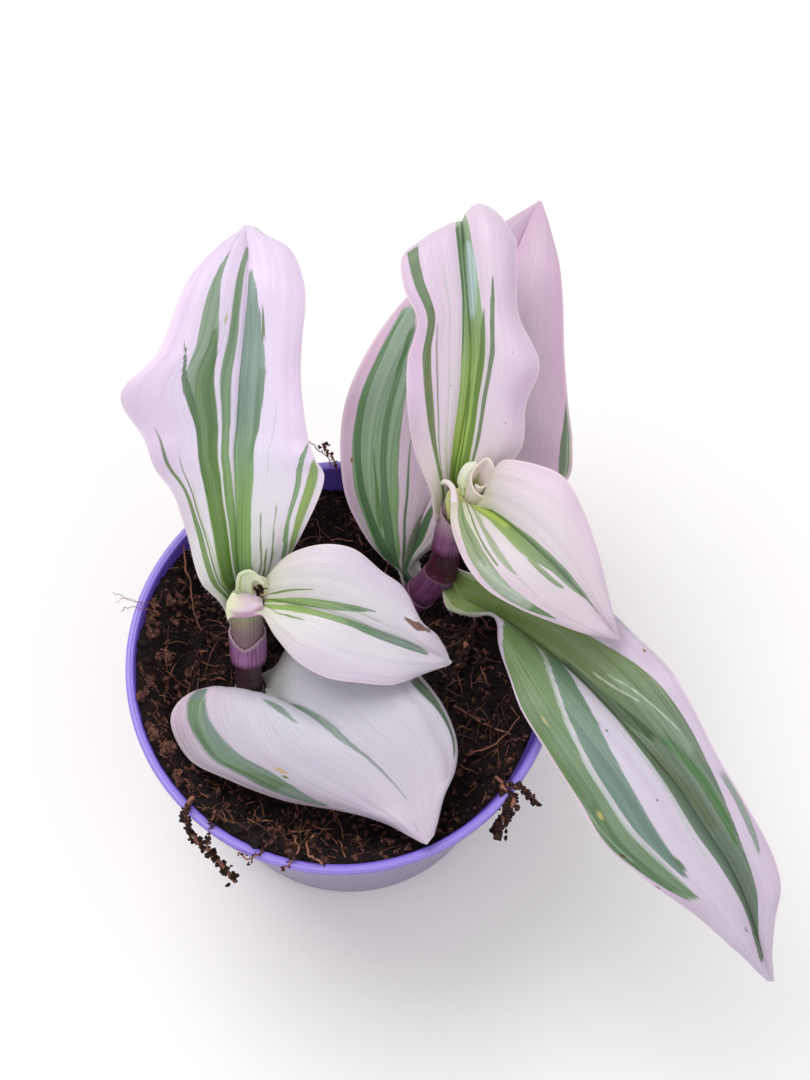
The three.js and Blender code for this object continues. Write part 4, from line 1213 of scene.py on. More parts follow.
def blade_finish(name, underside=False):
    label = name.replace("_", " ") + (" underside" if underside else " skin")
    material, tree, skin = new_material(label)
    across, along, lines = sheet_lines(tree, 85.0, 2.6)
    place = put(tree, "ShaderNodeTexCoord").outputs["Object"]
    cells = cloud(tree, place, 5200, 2.0, 0.6)
    blotches = cloud(tree, place, 120, 3.0, 0.5)
    *codes, reach = GROUNDS[name]
    cream, blush, throat = [paint(code) for code in codes]
    from_rib = calc(tree, "ABSOLUTE", calc(tree, "SUBTRACT", calc(tree, "MULTIPLY", across, 2.0), 1.0))
    outward = fade(tree, from_rib, 0.25, 1.0)
    upward = fade(tree, along, 0.35, 1.0)
    warm = calc(tree, "MAXIMUM", outward, calc(tree, "MULTIPLY", upward, 0.8))
    warm = calc(tree, "MULTIPLY", warm, fade(tree, blotches, 0.25, 0.75, 0.55, 1.0))
    color = mix(tree, warm, cream, blush)
    color = mix(tree, fade(tree, along, 0.03, reach, 0.85, 0.0), color, throat)
    color = mix(tree, calc(tree, "MULTIPLY", lines["Lines"], 0.22), color, blush)
    wide_comb = use_group(tree, COMB, {"Across": across, "Along": along})["Along"]
    fine_teeth = {"Across": across, "Along": along, "Teeth": 70.0, "Depth": 0.025}
    fine_comb = use_group(tree, COMB, fine_teeth)["Along"]
    for tone, rows in STRIPES[name]:
        base, tip, strength, soft = TONES[tone]
        widest = max(row[2] - row[1] for row in rows)
        combed = wide_comb if widest > WIDE_BAND and name == "left_leaf_tall" else fine_comb
        if underside and widest < THIN_STRIPE:
            continue
        green = mix(tree, fade(tree, along, 0.2, 0.62), paint(base), paint(tip))
        light = mix(tree, 0.45, green, paint("#bccab6"))
        dark = mix(tree, 0.5, green, paint("#23481a"))
        green = mix(tree, calc(tree, "MULTIPLY", lines["Streaks"], 0.35), green, light)
        green = mix(tree, calc(tree, "MULTIPLY", lines["Lines"], 0.45), green, dark)
        sockets = {
            "Across": across, "Along": combed, "Soft": soft,
            "Left": edge_curve(tree, combed, rows, 1), "Right": edge_curve(tree, combed, rows, 2),
            "Start": rows[0][0] if rows[0][0] > FROM_BASE else -1.0, "End": rows[-1][0],
        }
        stripe = use_group(tree, STRIPE, sockets)
        if tone in EDGED_TONES:
            green = mix(tree, calc(tree, "MULTIPLY", stripe["Border"], 0.35), green, dark)
        color = mix(tree, calc(tree, "MULTIPLY", stripe["Mask"], strength), color, green)
    for u, v, wide, long, code in SPOTS.get(name, ()):
        sockets = {"Across": across, "Along": along, "U": (u + 1) / 2, "V": v, "Wide": wide, "Long": long}
        color = mix(tree, use_group(tree, SPOT, sockets)["Mask"], color, paint(code))
    rim = mix(tree, 0.5, cream, paint("#e6c8d2"))
    color = mix(tree, fade(tree, from_rib, 0.962, 0.985, 0.0, 0.75), color, rim)
    if underside:
        color = mix(tree, 0.5, color, paint("#b795b4"))
    tree.links.new(color, skin.inputs["Base Color"])
    set_flesh(skin, 0.4, 0.12)
    tree.links.new(fade(tree, cells, 0.3, 0.7, 0.32, 0.5), skin.inputs["Roughness"])
    skin.inputs["Specular IOR Level"].default_value = 0.45
    skin.inputs["Sheen Weight"].default_value = 0.12
    skin.inputs["Sheen Roughness"].default_value = 0.4
    skin.inputs["Subsurface Radius"].default_value = (0.8, 0.7, 0.6)
    fine_lines = calc(tree, "MULTIPLY", lines["Lines"], 0.7)
    relief = calc(tree, "ADD", fine_lines, calc(tree, "MULTIPLY", cells, 0.5))
    tree.links.new(bump(tree, relief, 0.35, 0.00012), skin.inputs["Normal"])
    return material


# %% [markdown]
# At its base each leaf is a tube round the stem, the sheath: purple, finely ribbed, with a thin
# papery mouth. It grew in one with its blade, so the two are joined to one piece, which stands
# for the leaf's CAD node.

# %% Sheaths
# Heights on the stem and wall of the tube, both below and above, in millimetres. The mouth rises
# towards the facing direction and is notched at the slit, both given in degrees round the stem.
SHEATHS = {
    "left_leaf_low": {
        "heights": (46.2, 48.7), "wall": (0.8, 0.6), "facing": 265, "slit": 265, "rise": 0.3, "notch": 0,
    },
    "left_leaf_tall": {
        "heights": (53.6, 59.0), "wall": (1.15, 1.3), "facing": 95, "slit": 262, "rise": 0.6, "notch": 1.4,
    },
    "left_leaf_front": {
        "heights": (56.6, 65.1), "wall": (0.8, 1.15), "facing": 330, "slit": 330, "rise": 0.8, "notch": 0,
    },
    "right_leaf_back": {
        "heights": (46.6, 49.4), "wall": (0.8, 1.1), "facing": 130, "slit": 130, "rise": 0.6, "notch": 0,
    },
    "right_leaf_long": {
        "heights": (48.8, 54.6), "wall": (0.8, 1.2), "facing": 310, "slit": 310, "rise": 0.8, "notch": 0.3,
    },
    "right_leaf_upright": {
        "heights": (58.8, 66.6), "wall": (1.15, 0.95), "facing": 95, "slit": 285, "rise": 1.4, "notch": 0.8,
    },
    "right_leaf_small": {
        "heights": (66.5, 70.0), "wall": (0.7, 0.9), "facing": 300, "slit": 300, "rise": 0.8, "notch": 0,
    },
}


def wrap_sheath(name, leaf):
    shoot = SHOOTS[leaf["shoot"]]
    form = SHEATHS[name]
    low, high = [amount_at(shoot, height) for height in form["heights"]]
    facing = math.radians(form["facing"])

    def place(us, vs):
        turn = math.pi * (us + 1)
        centre, side, front, radius = shoot_frame(shoot, low + (high - low) * vs)
        wall = form["wall"][0] + (form["wall"][1] - form["wall"][0]) * vs
        closing = np.sqrt(np.clip(vs / 0.08, 0, 1))
        ribs = 0.045 * np.cos(22 * turn)[None, :] * closing[:, None]
        radii = (radius + 0.35 + (wall - 0.35) * closing)[:, None] + ribs
        spots = round_sheet(centre, side, front, radii, us)
        slit = math.radians(form["slit"])
        away = np.abs((turn - slit + math.pi) % (2 * math.pi) - math.pi)
        level = 0.5 * form["rise"] * np.cos(turn - facing)
        level = level - form["notch"] * np.clip(1 - away / 0.95, 0, 1)
        lift = np.cross(side, front)
        top = step_up(vs, 0.3, 1)
        return spots + lift[:, None] * (top[:, None] * level[None, :])[..., None]

    sheath = add_sheet(name + "_sheath", 88, 44, place)
    weld(sheath)
    modifier = sheath.modifiers.new("wall", "SOLIDIFY")
    modifier.thickness = 0.28 * MM
    modifier.offset = -1
    apply_all(sheath)
    return sheath


def sheath_finish(label, base, rib, foot, mouth, fading, low):
    material, tree, skin = new_material(label)
    _, along, lines = sheet_lines(tree, 60.0, 1.2)
    place = put(tree, "ShaderNodeTexCoord").outputs["Object"]
    patches = cloud(tree, place, 380, 3.0)
    color = mix(tree, patches, paint(base[0]), paint(base[1]))
    color = mix(tree, calc(tree, "MULTIPLY", lines["Lines"], 0.65), color, paint(rib))
    color = mix(tree, calc(tree, "MULTIPLY", lines["Streaks"], 0.5), color, paint(base[1]))
    color = mix(tree, fade(tree, along, 0.25 * low, low, 0.85, 0.0), color, paint(foot))
    color = mix(tree, fade(tree, along, fading, 1.0, 0.0, 0.8), color, paint(mouth))
    tree.links.new(color, skin.inputs["Base Color"])
    set_flesh(skin, 0.36, 0.1)
    tree.links.new(bump(tree, lines["Lines"], 0.4, 0.00015), skin.inputs["Normal"])
    return material


PURPLE = sheath_finish("purple sheath", ("#733866", "#a576a8"), "#4d2145", "#451432", "#b39aa2", 0.86, 0.3)
PAPERY = sheath_finish("papery sheath", ("#8a8468", "#b9bd9c"), "#7b8a44", "#7a5468", "#b9c49c", 0.7, 0.75)
DUSKY = sheath_finish("dusky sheath", ("#552a4c", "#835078"), "#3a1a34", "#3a1030", "#7a5a6c", 0.86, 0.3)
FADING = sheath_finish("fading sheath", ("#6f3a62", "#95648c"), "#4a2042", "#451230", "#c0a6b2", 0.4, 0.3)
SHEATH_SKINS = {
    "left_leaf_front": PAPERY, "right_leaf_upright": FADING, "right_leaf_small": PAPERY,
    "right_leaf_long": DUSKY, "right_leaf_back": DUSKY,
}

# %% Grow every leaf
leaves = {}
for name, leaf in LEAVES.items():
    blade = add_sheet(name + "_blade", 56, 150, blade_place(name, leaf))
    solidify(blade, BLADE_WALL)
    blade.data.materials.append(blade_finish(name))
    blade.data.materials.append(blade_finish(name, underside=True))
    sheath = wrap_sheath(name, leaf)
    sheath.data.materials.append(SHEATH_SKINS.get(name, PURPLE))
    leaves[name] = join(name + "_living", [blade, sheath])
    smooth(leaves[name], 60)
    finish_piece(leaves[name], "leaf", name)

# %% [markdown]
# ## The young leaves
# The left shoot ends in a small leaf bent over like a hood. The right one ends in a leaf that is
# still rolled up like a scroll: its sheet is wound round its own axis one and a half times.

# %% Hood
HOOD = [
    [(-16.5, 6.5, 67.2), (-15.4, 6.9, 67.2), (-13.9, 6.3, 67.0)],
    [(-16.3, 6.9, 70), (-15.2, 7.1, 70.1), (-13.7, 6.6, 69.6)],
    [(-15.7, 8.4, 72.2), (-14.8, 8.0, 71.9), (-13.6, 7.3, 71.0)],
    [(-13.8, 8.7, 73), (-13.3, 8.1, 72.6), (-12.8, 7.4, 71.8)],
    [(-12.0, 7.6, 71.7), (-11.8, 7.1, 71.4), (-11.9, 6.7, 71.0)],
]


def small_sheet(name, across, along, stations, wall):
    """A thickened sheet through stations of three points each."""
    def place(us, vs):
        return blade_rows({"stations": stations, "rib": 1, "crown": (0, 0)}, us, vs)[0]

    sheet = add_sheet(name, across, along, place)
    solidify(sheet, wall)
    return sheet


def young_finish(label, foot, body, edge, stripes, flush, strength=0.8):
    material, tree, skin = new_material(label)
    across, along, lines = sheet_lines(tree, 34.0, 1.5)
    color = mix(tree, fade(tree, along, 0.0, 0.6), paint(foot), paint(body))
    color = mix(tree, calc(tree, "MULTIPLY", lines["Streaks"], 0.35), color, paint(flush))
    for rows in stripes:
        sockets = {
            "Across": across, "Along": along,
            "Left": edge_curve(tree, along, rows, 1), "Right": edge_curve(tree, along, rows, 2),
            "End": rows[-1][0], "Soft": 0.03,
        }
        stripe = use_group(tree, STRIPE, sockets)["Mask"]
        color = mix(tree, calc(tree, "MULTIPLY", stripe, strength), color, paint("#7fa52f"))
    color = mix(tree, fade(tree, along, 0.93, 0.98, 0.0, 0.9), color, paint(edge))
    tree.links.new(color, skin.inputs["Base Color"])
    set_flesh(skin, 0.42, 0.15)
    tree.links.new(bump(tree, lines["Lines"], 0.3, 0.0001), skin.inputs["Normal"])
    return material


hood = small_sheet("left_young_hood", 28, 44, HOOD, 0.5)
HOOD_STRIPES = [[(0.0, -0.55, -0.25), (0.5, -0.5, -0.25), (0.9, -0.3, -0.1)]]
hood.data.materials.append(
    young_finish("hood skin", "#b4c48a", "#cdd6b6", "#e3dfcd", HOOD_STRIPES, "#d6dcc4"))

# %% Throats
# A cup behind each young leaf: the pale bases of the leaves still wrapped round each other.
THROATS = {
    "left_young_throat": ("#a69f5e", "#d5d3b2", [
        [(-16.3, 5.9, 66.6), (-14.2, 6.4, 66.7), (-11.5, 6.1, 66.7)],
        [(-16.2, 7.3, 68.8), (-14.0, 7.8, 68.9), (-11.2, 7.2, 68.6)],
        [(-15.4, 8.6, 70.9), (-13.7, 8.9, 71.3), (-11.6, 8.2, 70.8)],
    ]),
    "right_young_throat": ("#9ba052", "#bcc274", [
        [(16.9, 18.9, 69.0), (19.3, 18.9, 69.7), (22.4, 20.2, 69.9)],
        [(16.6, 21.0, 70.2), (19.2, 21.3, 70.5), (22.6, 22.0, 70.9)],
        [(16.9, 22.8, 71.0), (19.2, 23.4, 71.2), (22.2, 23.9, 71.9)],
    ]),
}
throats = {}
for label, (foot, body, stations) in THROATS.items():
    throats[label] = small_sheet(label, 24, 24, stations, 0.3)
    skin = young_finish(label.replace("_", " "), foot, body, body, [], "#cdc6a4")
    throats[label].data.materials.append(skin)

hood = join("left_young_hood", [hood, throats["left_young_throat"]])
smooth(hood, 60)
finish_piece(hood, "young_leaf", "left_young_leaf")

# %% [markdown]
# Where the front leaf leaves its sheath, its margin runs on round the stem as a small pale collar
# with a free tip. It is a narrow sheet of its own, wrapped in front of the stem.

# %% Collar of the front leaf
COLLAR = [
    [(-12.0, 3.6, 66.9), (-12.2, 5.0, 67.4), (-13.2, 6.8, 67.6)],
    [(-14.3, 3.85, 65.0), (-14.5, 4.5, 66.3), (-14.5, 7.0, 67.9)],
    [(-16.2, 3.75, 65.0), (-16.2, 4.4, 66.3), (-15.8, 6.8, 67.9)],
    [(-17.2, 3.8, 64.9), (-17.4, 4.8, 66.1), (-16.9, 6.8, 67.8)],
    [(-17.9, 3.5, 64.5), (-18.1, 4.6, 65.5), (-17.9, 5.8, 66.5)],
]


def collar_finish():
    material, tree, skin = new_material("collar skin")
    across, along, lines = sheet_lines(tree, 26.0, 1.5)
    color = mix(tree, fade(tree, along, 0.2, 0.8), paint("#e2cbdc"), paint("#dfe3c0"))
    low = fade(tree, across, 0.2, 0.65, 1.0, 0.0)
    near = fade(tree, along, 0.5, 0.85, 1.0, 0.0)
    flushed = calc(tree, "MULTIPLY", calc(tree, "MULTIPLY", low, near), 0.8)
    color = mix(tree, flushed, color, paint("#c98fc0"))
    color = mix(tree, calc(tree, "MULTIPLY", lines["Lines"], 0.25), color, paint("#c9cfa0"))
    tree.links.new(color, skin.inputs["Base Color"])
    set_flesh(skin, 0.42, 0.15)
    tree.links.new(bump(tree, lines["Lines"], 0.3, 0.0001), skin.inputs["Normal"])
    return material


collar = small_sheet("left_front_collar", 26, 48, COLLAR, 0.45)
collar.data.materials.append(collar_finish())
smooth(collar, 60)
finish_piece(collar, "leaf")

# %% Scroll
# The rim of the roll as one looks into it, from its free outer margin to the inner one.
SCROLL_RIM = [
    (23.77, 21.78, 73.48), (22.86, 21.05, 73.40), (21.30, 21.70, 73.88), (20.65, 23.24, 74.93),
    (21.30, 24.74, 76.08), (22.99, 25.74, 76.91), (23.97, 24.46, 76.08), (23.90, 23.61, 75.41),
    (23.12, 22.59, 74.78), (22.08, 22.19, 74.40), (21.20, 22.70, 74.30),
]
SCROLL_MIDDLE = np.array([22.4, 23.4, 75.0])
SCROLL_FOOT = np.array([20.3, 21.6, 70.0])


def scroll_place(us, vs):
    rim = smooth_curve(SCROLL_RIM, (us + 1) / 2)
    spread = rim - SCROLL_MIDDLE
    wide = 0.55 + 0.45 * np.sin(vs * math.pi / 2) ** 1.3
    middle = SCROLL_FOOT + (SCROLL_MIDDLE - SCROLL_FOOT) * vs[:, None]
    flare = 1 + 0.07 * step_up(vs, 0.86, 1)
    return middle[:, None] + spread[None] * (wide * flare)[:, None, None]


scroll = add_sheet("right_young_scroll", 96, 44, scroll_place)
solidify(scroll, 0.3)
OUTER_STRIPES = [[(0.0, -0.2, 0.15), (0.35, -0.15, 0.1), (0.6, -0.05, 0.0)]]
INNER_STRIPES = [[(0.0, -0.5, -0.2), (0.6, -0.48, -0.22), (1.0, -0.45, -0.3)]]
scroll.data.materials.append(
    young_finish("scroll skin", "#aebc40", "#dcd3cc", "#ece3d8", OUTER_STRIPES, "#cfb0c4", 0.5))
scroll.data.materials.append(
    young_finish("scroll inside", "#93a02c", "#cfb4b8", "#e9ddd6", INNER_STRIPES, "#c0a0a8"))

LOBE = [
    [(18.7, 22.2, 71.2), (19.1, 21.9, 71.4), (19.7, 21.7, 71.6)],
    [(18.4, 24.2, 72.2), (19.2, 23.4, 72.7), (20.0, 23.2, 72.4)],
    [(18.9, 25.5, 73.2), (19.9, 24.6, 73.7), (20.8, 24.0, 73.2)],
    [(19.8, 26.4, 73.8), (20.6, 25.4, 74.2), (21.3, 24.7, 73.8)],
    [(21.3, 26.5, 74.2), (21.5, 26.0, 74.4), (21.7, 25.6, 74.2)],
]
lobe = small_sheet("right_young_lobe", 26, 36, LOBE, 0.4)
lobe.data.materials.append(young_finish("lobe skin", "#c6cf96", "#dcdccb", "#eae6da", [], "#d5dac2"))
young = join("right_young_scroll", [scroll, lobe, throats["right_young_throat"]])
smooth(young, 60)
finish_piece(young, "young_leaf", "right_young_leaf")

# %% [markdown]
# The small right leaf hooks its near margin over at the base: the blade's edge is rolled outwards
# there to a thick pale bead. It is one tapered cord of leaf along the margin.

# %% Rolled margin
HOOK = [(15.8, 23.3, 72.4), (16.2, 23.5, 73.1), (17.0, 23.1, 73.4), (17.6, 22.2, 73.3), (17.8, 21.1, 72.9),
        (17.9, 19.6, 72.5), (18.2, 17.5, 71.8), (18.6, 15.3, 71.0), (19.2, 13.3, 70.4)]
HOOK_GIRTH = [(0.0, 0.22), (0.15, 0.42), (0.4, 0.5), (0.6, 0.62), (0.8, 0.5), (1.0, 0.12)]


def hook_place(us, vs):
    centre = smooth_curve(HOOK, vs)
    along = unit(smooth_curve(HOOK, np.minimum(vs + 0.01, 1)) - smooth_curve(HOOK, np.maximum(vs - 0.01, 0)))
    side = unit(np.cross(along, np.array([0.0, -0.37, 0.93])))
    front = np.cross(along, side)
    places, radii = zip(*HOOK_GIRTH)
    closing = np.sqrt(np.clip(np.minimum(vs, 1 - vs) / 0.02, 0, 1))
    radius = np.interp(vs, places, radii) * closing
    return round_sheet(centre, side, front * 0.7, radius[:, None] * np.ones(len(us)), us)


hook = add_sheet("right_small_rolled_margin", 20, 70, hook_place)
weld(hook)
hook.data.materials.append(
    young_finish("rolled margin skin", "#d3d2bd", "#e0d3dc", "#e6d9e2", [], "#d9c6d8"))
smooth(hook, 70)
finish_piece(hook, "leaf")

# %% [markdown]
# ## The pot
# A nursery pot is one thin moulded shell. Its wall is drawn once as a profile and spun round the
# axis, the way a lathe would see it. The rim has a rounded outer bead, a shallow step and a flat
# band, and the drain holes are cut out of the floor with a Boolean modifier.

# %% Pot shell
POT_PROFILE = [
    (0, 0.35), (9, 0.35), (22.5, 0.35), (23.2, 0), (25.3, 0), (25.85, 0.25), (26.05, 0.8), (29.9, 28),
    (33.2, 51.5), (33.25, 51.8), (34.35, 51.8), (34.55, 52.1), (34.95, 55.2), (34.88, 55.7), (34.6, 55.97),
    (34.2, 56), (34.0, 55.86), (33.75, 55.9), (33.52, 55.75), (33.42, 55.3), (33.2, 53.6), (32.6, 51.6),
    (29.2, 26), (25.1, 2.2), (24.6, 1.6), (23.5, 1.5), (9, 1.5), (0, 1.5),
]


def draw_profile(name, corners):
    deselect_all()
    bpy.ops.mesh.primitive_plane_add(size=0.001)
    profile = bpy.context.object
    profile.name = name
    bpy.ops.object.mode_set(mode="EDIT")
    bpy.ops.mesh.select_all(action="SELECT")
    bpy.ops.mesh.merge(type="CENTER")
    bpy.ops.transform.translate(value=(corners[0][0] * MM, 0, corners[0][1] * MM))
    for before, after in zip(corners, corners[1:]):
        step = ((after[0] - before[0]) * MM, 0, (after[1] - before[1]) * MM)
        bpy.ops.mesh.extrude_region_move(TRANSFORM_OT_translate={"value": step})
    return profile


def spin_pot():
    pot = draw_profile("pot_shell", POT_PROFILE)
    bpy.ops.mesh.select_all(action="SELECT")
    bpy.ops.mesh.spin(steps=144, angle=2 * math.pi, center=(0, 0, 0), axis=(0, 0, 1))
    bpy.ops.mesh.select_all(action="SELECT")
    bpy.ops.mesh.remove_doubles(threshold=0.000004)
    bpy.ops.mesh.normals_make_consistent(inside=False)
    bpy.ops.object.mode_set(mode="OBJECT")
    return pot


def cut_drain_holes(pot, count=6, radius=2.3, circle=17):
    for hole in range(count):
        angle = 2 * math.pi * hole / count
        spot = (circle * MM * math.cos(angle), circle * MM * math.sin(angle), 0.001)
        deselect_all()
        bpy.ops.mesh.primitive_cylinder_add(vertices=32, radius=radius * MM, depth=0.008, location=spot)
        drill = bpy.context.object
        cut = pot.modifiers.new("hole", "BOOLEAN")
        cut.operation = "DIFFERENCE"
        cut.object = drill
        cut.solver = "EXACT"
        deselect_all()
        pot.select_set(True)
        bpy.context.view_layer.objects.active = pot
        bpy.ops.object.modifier_apply(modifier=cut.name)
        bpy.data.objects.remove(drill)


pot = spin_pot()
cut_drain_holes(pot)
smooth(pot, 32)

# %% Violet plastic
def plastic_finish():
    material, tree, shell = new_material("violet plastic")
    place = put(tree, "ShaderNodeTexCoord").outputs["Object"]
    height = put(tree, "ShaderNodeSeparateXYZ", {0: place}).outputs["Z"]
    moulding = cloud(tree, place, 70, 2.0)
    grit = use_group(tree, GRIT, {"Place": place, "Size": 1400.0})
    color = mix(tree, moulding, paint("#6048b4"), paint("#6d55c2"))
    away = put(tree, "ShaderNodeVectorMath", {0: place}, operation="MULTIPLY")
    away.inputs[1].default_value = (1, 1, 0)
    reach = put(tree, "ShaderNodeVectorMath", {0: away.outputs[0]}, operation="LENGTH").outputs["Value"]
    # Painted highlight: the outer part of the rim's flat top is painted lighter violet where the light falls
    # on it.
    top = fade(tree, height, 0.0553, 0.0557)
    rim = calc(tree, "MULTIPLY", top, fade(tree, reach, 0.0337, 0.034, 0.1, 0.85))
    color = mix(tree, rim, color, paint("#9885de"))
    # The outer wall below the lip is greyed to mauve: partly dusty plastic, partly painted shade under the
    # lip.
    wall = fade(tree, height, 0.0500, 0.0535, 0.8, 0.0)
    slope = calc(tree, "ADD", calc(tree, "MULTIPLY", height, 0.1405), 0.0257)
    outer = fade(tree, calc(tree, "SUBTRACT", reach, slope), -0.0003, 0.0)
    color = mix(tree, calc(tree, "MULTIPLY", wall, outer), color, paint("#827388"))
    dust = calc(tree, "MULTIPLY", grit["Patches"], fade(tree, grit["Grit"], 0.5, 0.72))
    outside = fade(tree, height, 0.0500, 0.0540, 0.75, 0.12)
    color = mix(tree, calc(tree, "MULTIPLY", dust, outside), color, paint("#6d5448"))
    tree.links.new(color, shell.inputs["Base Color"])
    tree.links.new(fade(tree, grit["Grit"], 0.3, 0.7, 0.3, 0.46), shell.inputs["Roughness"])
    shell.inputs["Specular IOR Level"].default_value = 0.5
    shell.inputs["Subsurface Weight"].default_value = 0.1
    shell.inputs["Subsurface Radius"].default_value = (0.6, 0.5, 1.0)
    shell.inputs["Subsurface Scale"].default_value = 0.001
    tree.links.new(bump(tree, grit["Grit"], 0.12, 0.0001), shell.inputs["Normal"])
    return material


pot.data.materials.append(plastic_finish())
finish_piece(pot, "pot_plastic", "pot")

# %% [markdown]
# ## The peat
# The peat is a plug with a lumpy top, heaped against the near left wall. A grid is pressed into a
# round disc, its points are lifted by layered noise, and the border is drawn down to the floor of
# the pot. Loose crumbs are one rough pebble, copied many times, and the coir fibres are thin
# curves with a round bevel that are turned into mesh.

# %% Lie of the peat
SOIL_TOP = 45.4
HEAP_RISE = 9.6
HEAP_SIDE = math.radians(218)
FEET = [(-15.4, -4), (10.5, 13.5)]


def inner_wall(z):
    return float(np.interp(z, (1.5, 2.2, 26, 51.6, 53.6, 55.3), (24.6, 25.1, 29.2, 32.6, 33.2, 33.42)))


def heap_at(angle):
    """How far the peat climbs the wall, in millimetres, in this direction."""
    return HEAP_RISE * (0.5 + 0.5 * math.cos(angle - HEAP_SIDE)) ** 0.6


def wall_reach(angle):
    return inner_wall(SOIL_TOP + 0.4 + heap_at(angle)) - 0.12


def peat_height(x, y, rough=1.0):
    distance = math.hypot(x, y)
    angle = math.atan2(y, x)
    wall_rise = float(step_up(distance, 25.5, wall_reach(angle) + 0.4))
    hollow = min(1.0, *[float(step_up(math.hypot(x - a, y - b), 1.5, 7)) for a, b in FEET])
    lumps = 1.3 * noise.fractal(Vector((x * 0.22, y * 0.22, 3.1)), 1.0, 2.0, 3)
    clods = 1.5 * (0.55 - noise.voronoi(Vector((x * 0.4, y * 0.4, 1.7)))[0][0])
    grains = 0.8 * (0.5 - noise.voronoi(Vector((x * 1.2, y * 1.2, 4.2)))[0][0])
    detail = 0.4 * noise.noise(Vector((x * 2.9, y * 2.9, 0.4)))
    base = SOIL_TOP + 0.4 + heap_at(angle) * wall_rise
    return base + hollow * (lumps + clods) * (1 - 0.4 * wall_rise) + rough * (grains + detail)


def peat_place(us, vs):
    rows = np.zeros((len(vs), len(us), 3))
    for row, v in enumerate(vs * 2 - 1):
        for column, u in enumerate(us):
            x = u * math.sqrt(1 - v * v / 2)
            y = v * math.sqrt(1 - u * u / 2)
            reach = wall_reach(math.atan2(y, x))
            rows[row, column] = (x * reach, y * reach, peat_height(x * reach, y * reach))
    return rows


# All heights in millimetres. What lies under the lowest peat belongs to the skirt.
LOWEST_PEAT = 40.5
SKIRT_DROP = 20
SKIRT_LEVELS = (24.0, 1.8)
SKIRT_GAP = 0.45


def lay_peat():
    """The border is extruded down twice, then each ring is drawn in to the pot's wall at its level."""
    peat = add_sheet("peat_plug", 170, 170, peat_place)
    bpy.ops.object.mode_set(mode="EDIT")
    bpy.ops.mesh.select_mode(type="EDGE")
    bpy.ops.mesh.select_all(action="SELECT")
    bpy.ops.mesh.region_to_loop()
    for _ in SKIRT_LEVELS:
        bpy.ops.mesh.extrude_edges_move(TRANSFORM_OT_translate={"value": (0, 0, -SKIRT_DROP * MM)})
    bpy.ops.object.mode_set(mode="OBJECT")
    for vertex in peat.data.vertices:
        x, y, z = vertex.co / MM
        if z < LOWEST_PEAT:
            level = SKIRT_LEVELS[1 if z < LOWEST_PEAT - SKIRT_DROP else 0]
            scale = (inner_wall(level) - SKIRT_GAP) / max(math.hypot(x, y), 0.001)
            vertex.co = Vector((x * scale, y * scale, level)) * MM
    bpy.ops.object.mode_set(mode="EDIT")
    bpy.ops.mesh.select_all(action="DESELECT")
    bpy.ops.mesh.select_non_manifold()
    bpy.ops.mesh.edge_face_add()
    bpy.ops.mesh.select_all(action="SELECT")
    bpy.ops.mesh.normals_make_consistent(inside=False)
    bpy.ops.object.mode_set(mode="OBJECT")
    return peat


peat = lay_peat()
smooth(peat, 70)

# %% Peat finish
def peat_finish(label, dark, mid, light, size=900.0):
    material, tree, crumb = new_material(label)
    place = put(tree, "ShaderNodeTexCoord").outputs["Object"]
    grit = use_group(tree, GRIT, {"Place": place, "Size": size})
    color = mix(tree, fade(tree, grit["Grit"], 0.38, 0.68), paint(dark), paint(mid))
    bright = calc(tree, "MULTIPLY", fade(tree, grit["Grit"], 0.6, 0.78), grit["Patches"])
    color = mix(tree, bright, color, paint(light))
    tree.links.new(color, crumb.inputs["Base Color"])
    crumb.inputs["Roughness"].default_value = 0.88
    crumb.inputs["Specular IOR Level"].default_value = 0.3
    tree.links.new(bump(tree, grit["Grit"], 0.9, 0.0005), crumb.inputs["Normal"])
    return material


peat.data.materials.append(peat_finish("damp peat", "#0b0506", "#281514", "#62423a"))
finish_piece(peat, "peat", "soil")

# %% Crumbs
def rough_pebble(seed):
    """One angular crumb of twenty faces."""
    deselect_all()
    bpy.ops.mesh.primitive_ico_sphere_add(subdivisions=1, radius=1)
    pebble = bpy.context.object
    for vertex in pebble.data.vertices:
        push = noise.noise(vertex.co * 1.7 + Vector((4, seed * 1.3, 2)))
        vertex.co = vertex.co * (1 + 0.8 * push)
    return pebble


def scatter_crumbs(name, spots, seed):
    """spots: (x, y, z, size) in millimetres"""
    dice = random.Random(seed)
    pebbles = [rough_pebble(kind) for kind in range(4)]
    crumbs = []
    for number, (x, y, z, size) in enumerate(spots):
        pebble = pebbles[number % len(pebbles)]
        crumb = pebble.copy()
        crumb.data = pebble.data.copy()
        turn = [dice.uniform(0, 6.28) for _ in range(3)]
        stretch = [size * MM * dice.uniform(0.45, 1.25) for _ in range(3)]
        crumb.rotation_euler = turn
        crumb.scale = stretch
        crumb.location = (x * MM, y * MM, z * MM)
        bpy.context.scene.collection.objects.link(crumb)
        crumbs.append(crumb)
    for pebble in pebbles:
        bpy.data.objects.remove(pebble)
    heap = join(name, crumbs)
    bpy.ops.object.transform_apply(location=True, rotation=True, scale=True)
    return heap


def clear_of_feet(x, y, distance):
    return all(math.hypot(x - a, y - b) > distance for a, b in FEET)


def crumb_spots():
    dice = random.Random(11)
    spots = []
    while len(spots) < 3400:
        angle = dice.uniform(0, 2 * math.pi)
        reach = (wall_reach(angle) - 0.3) * math.sqrt(dice.random())
        x = reach * math.cos(angle)
        y = reach * math.sin(angle)
        heaped = heap_at(angle) / HEAP_RISE * float(step_up(reach, 21, 30))
        size = 0.18 + (0.5 + 0.4 * heaped) * dice.random() ** 2.5
        if clear_of_feet(x, y, 3.0 + size):
            spots.append((x, y, peat_height(x, y) + 0.3 * size, size))
    return spots


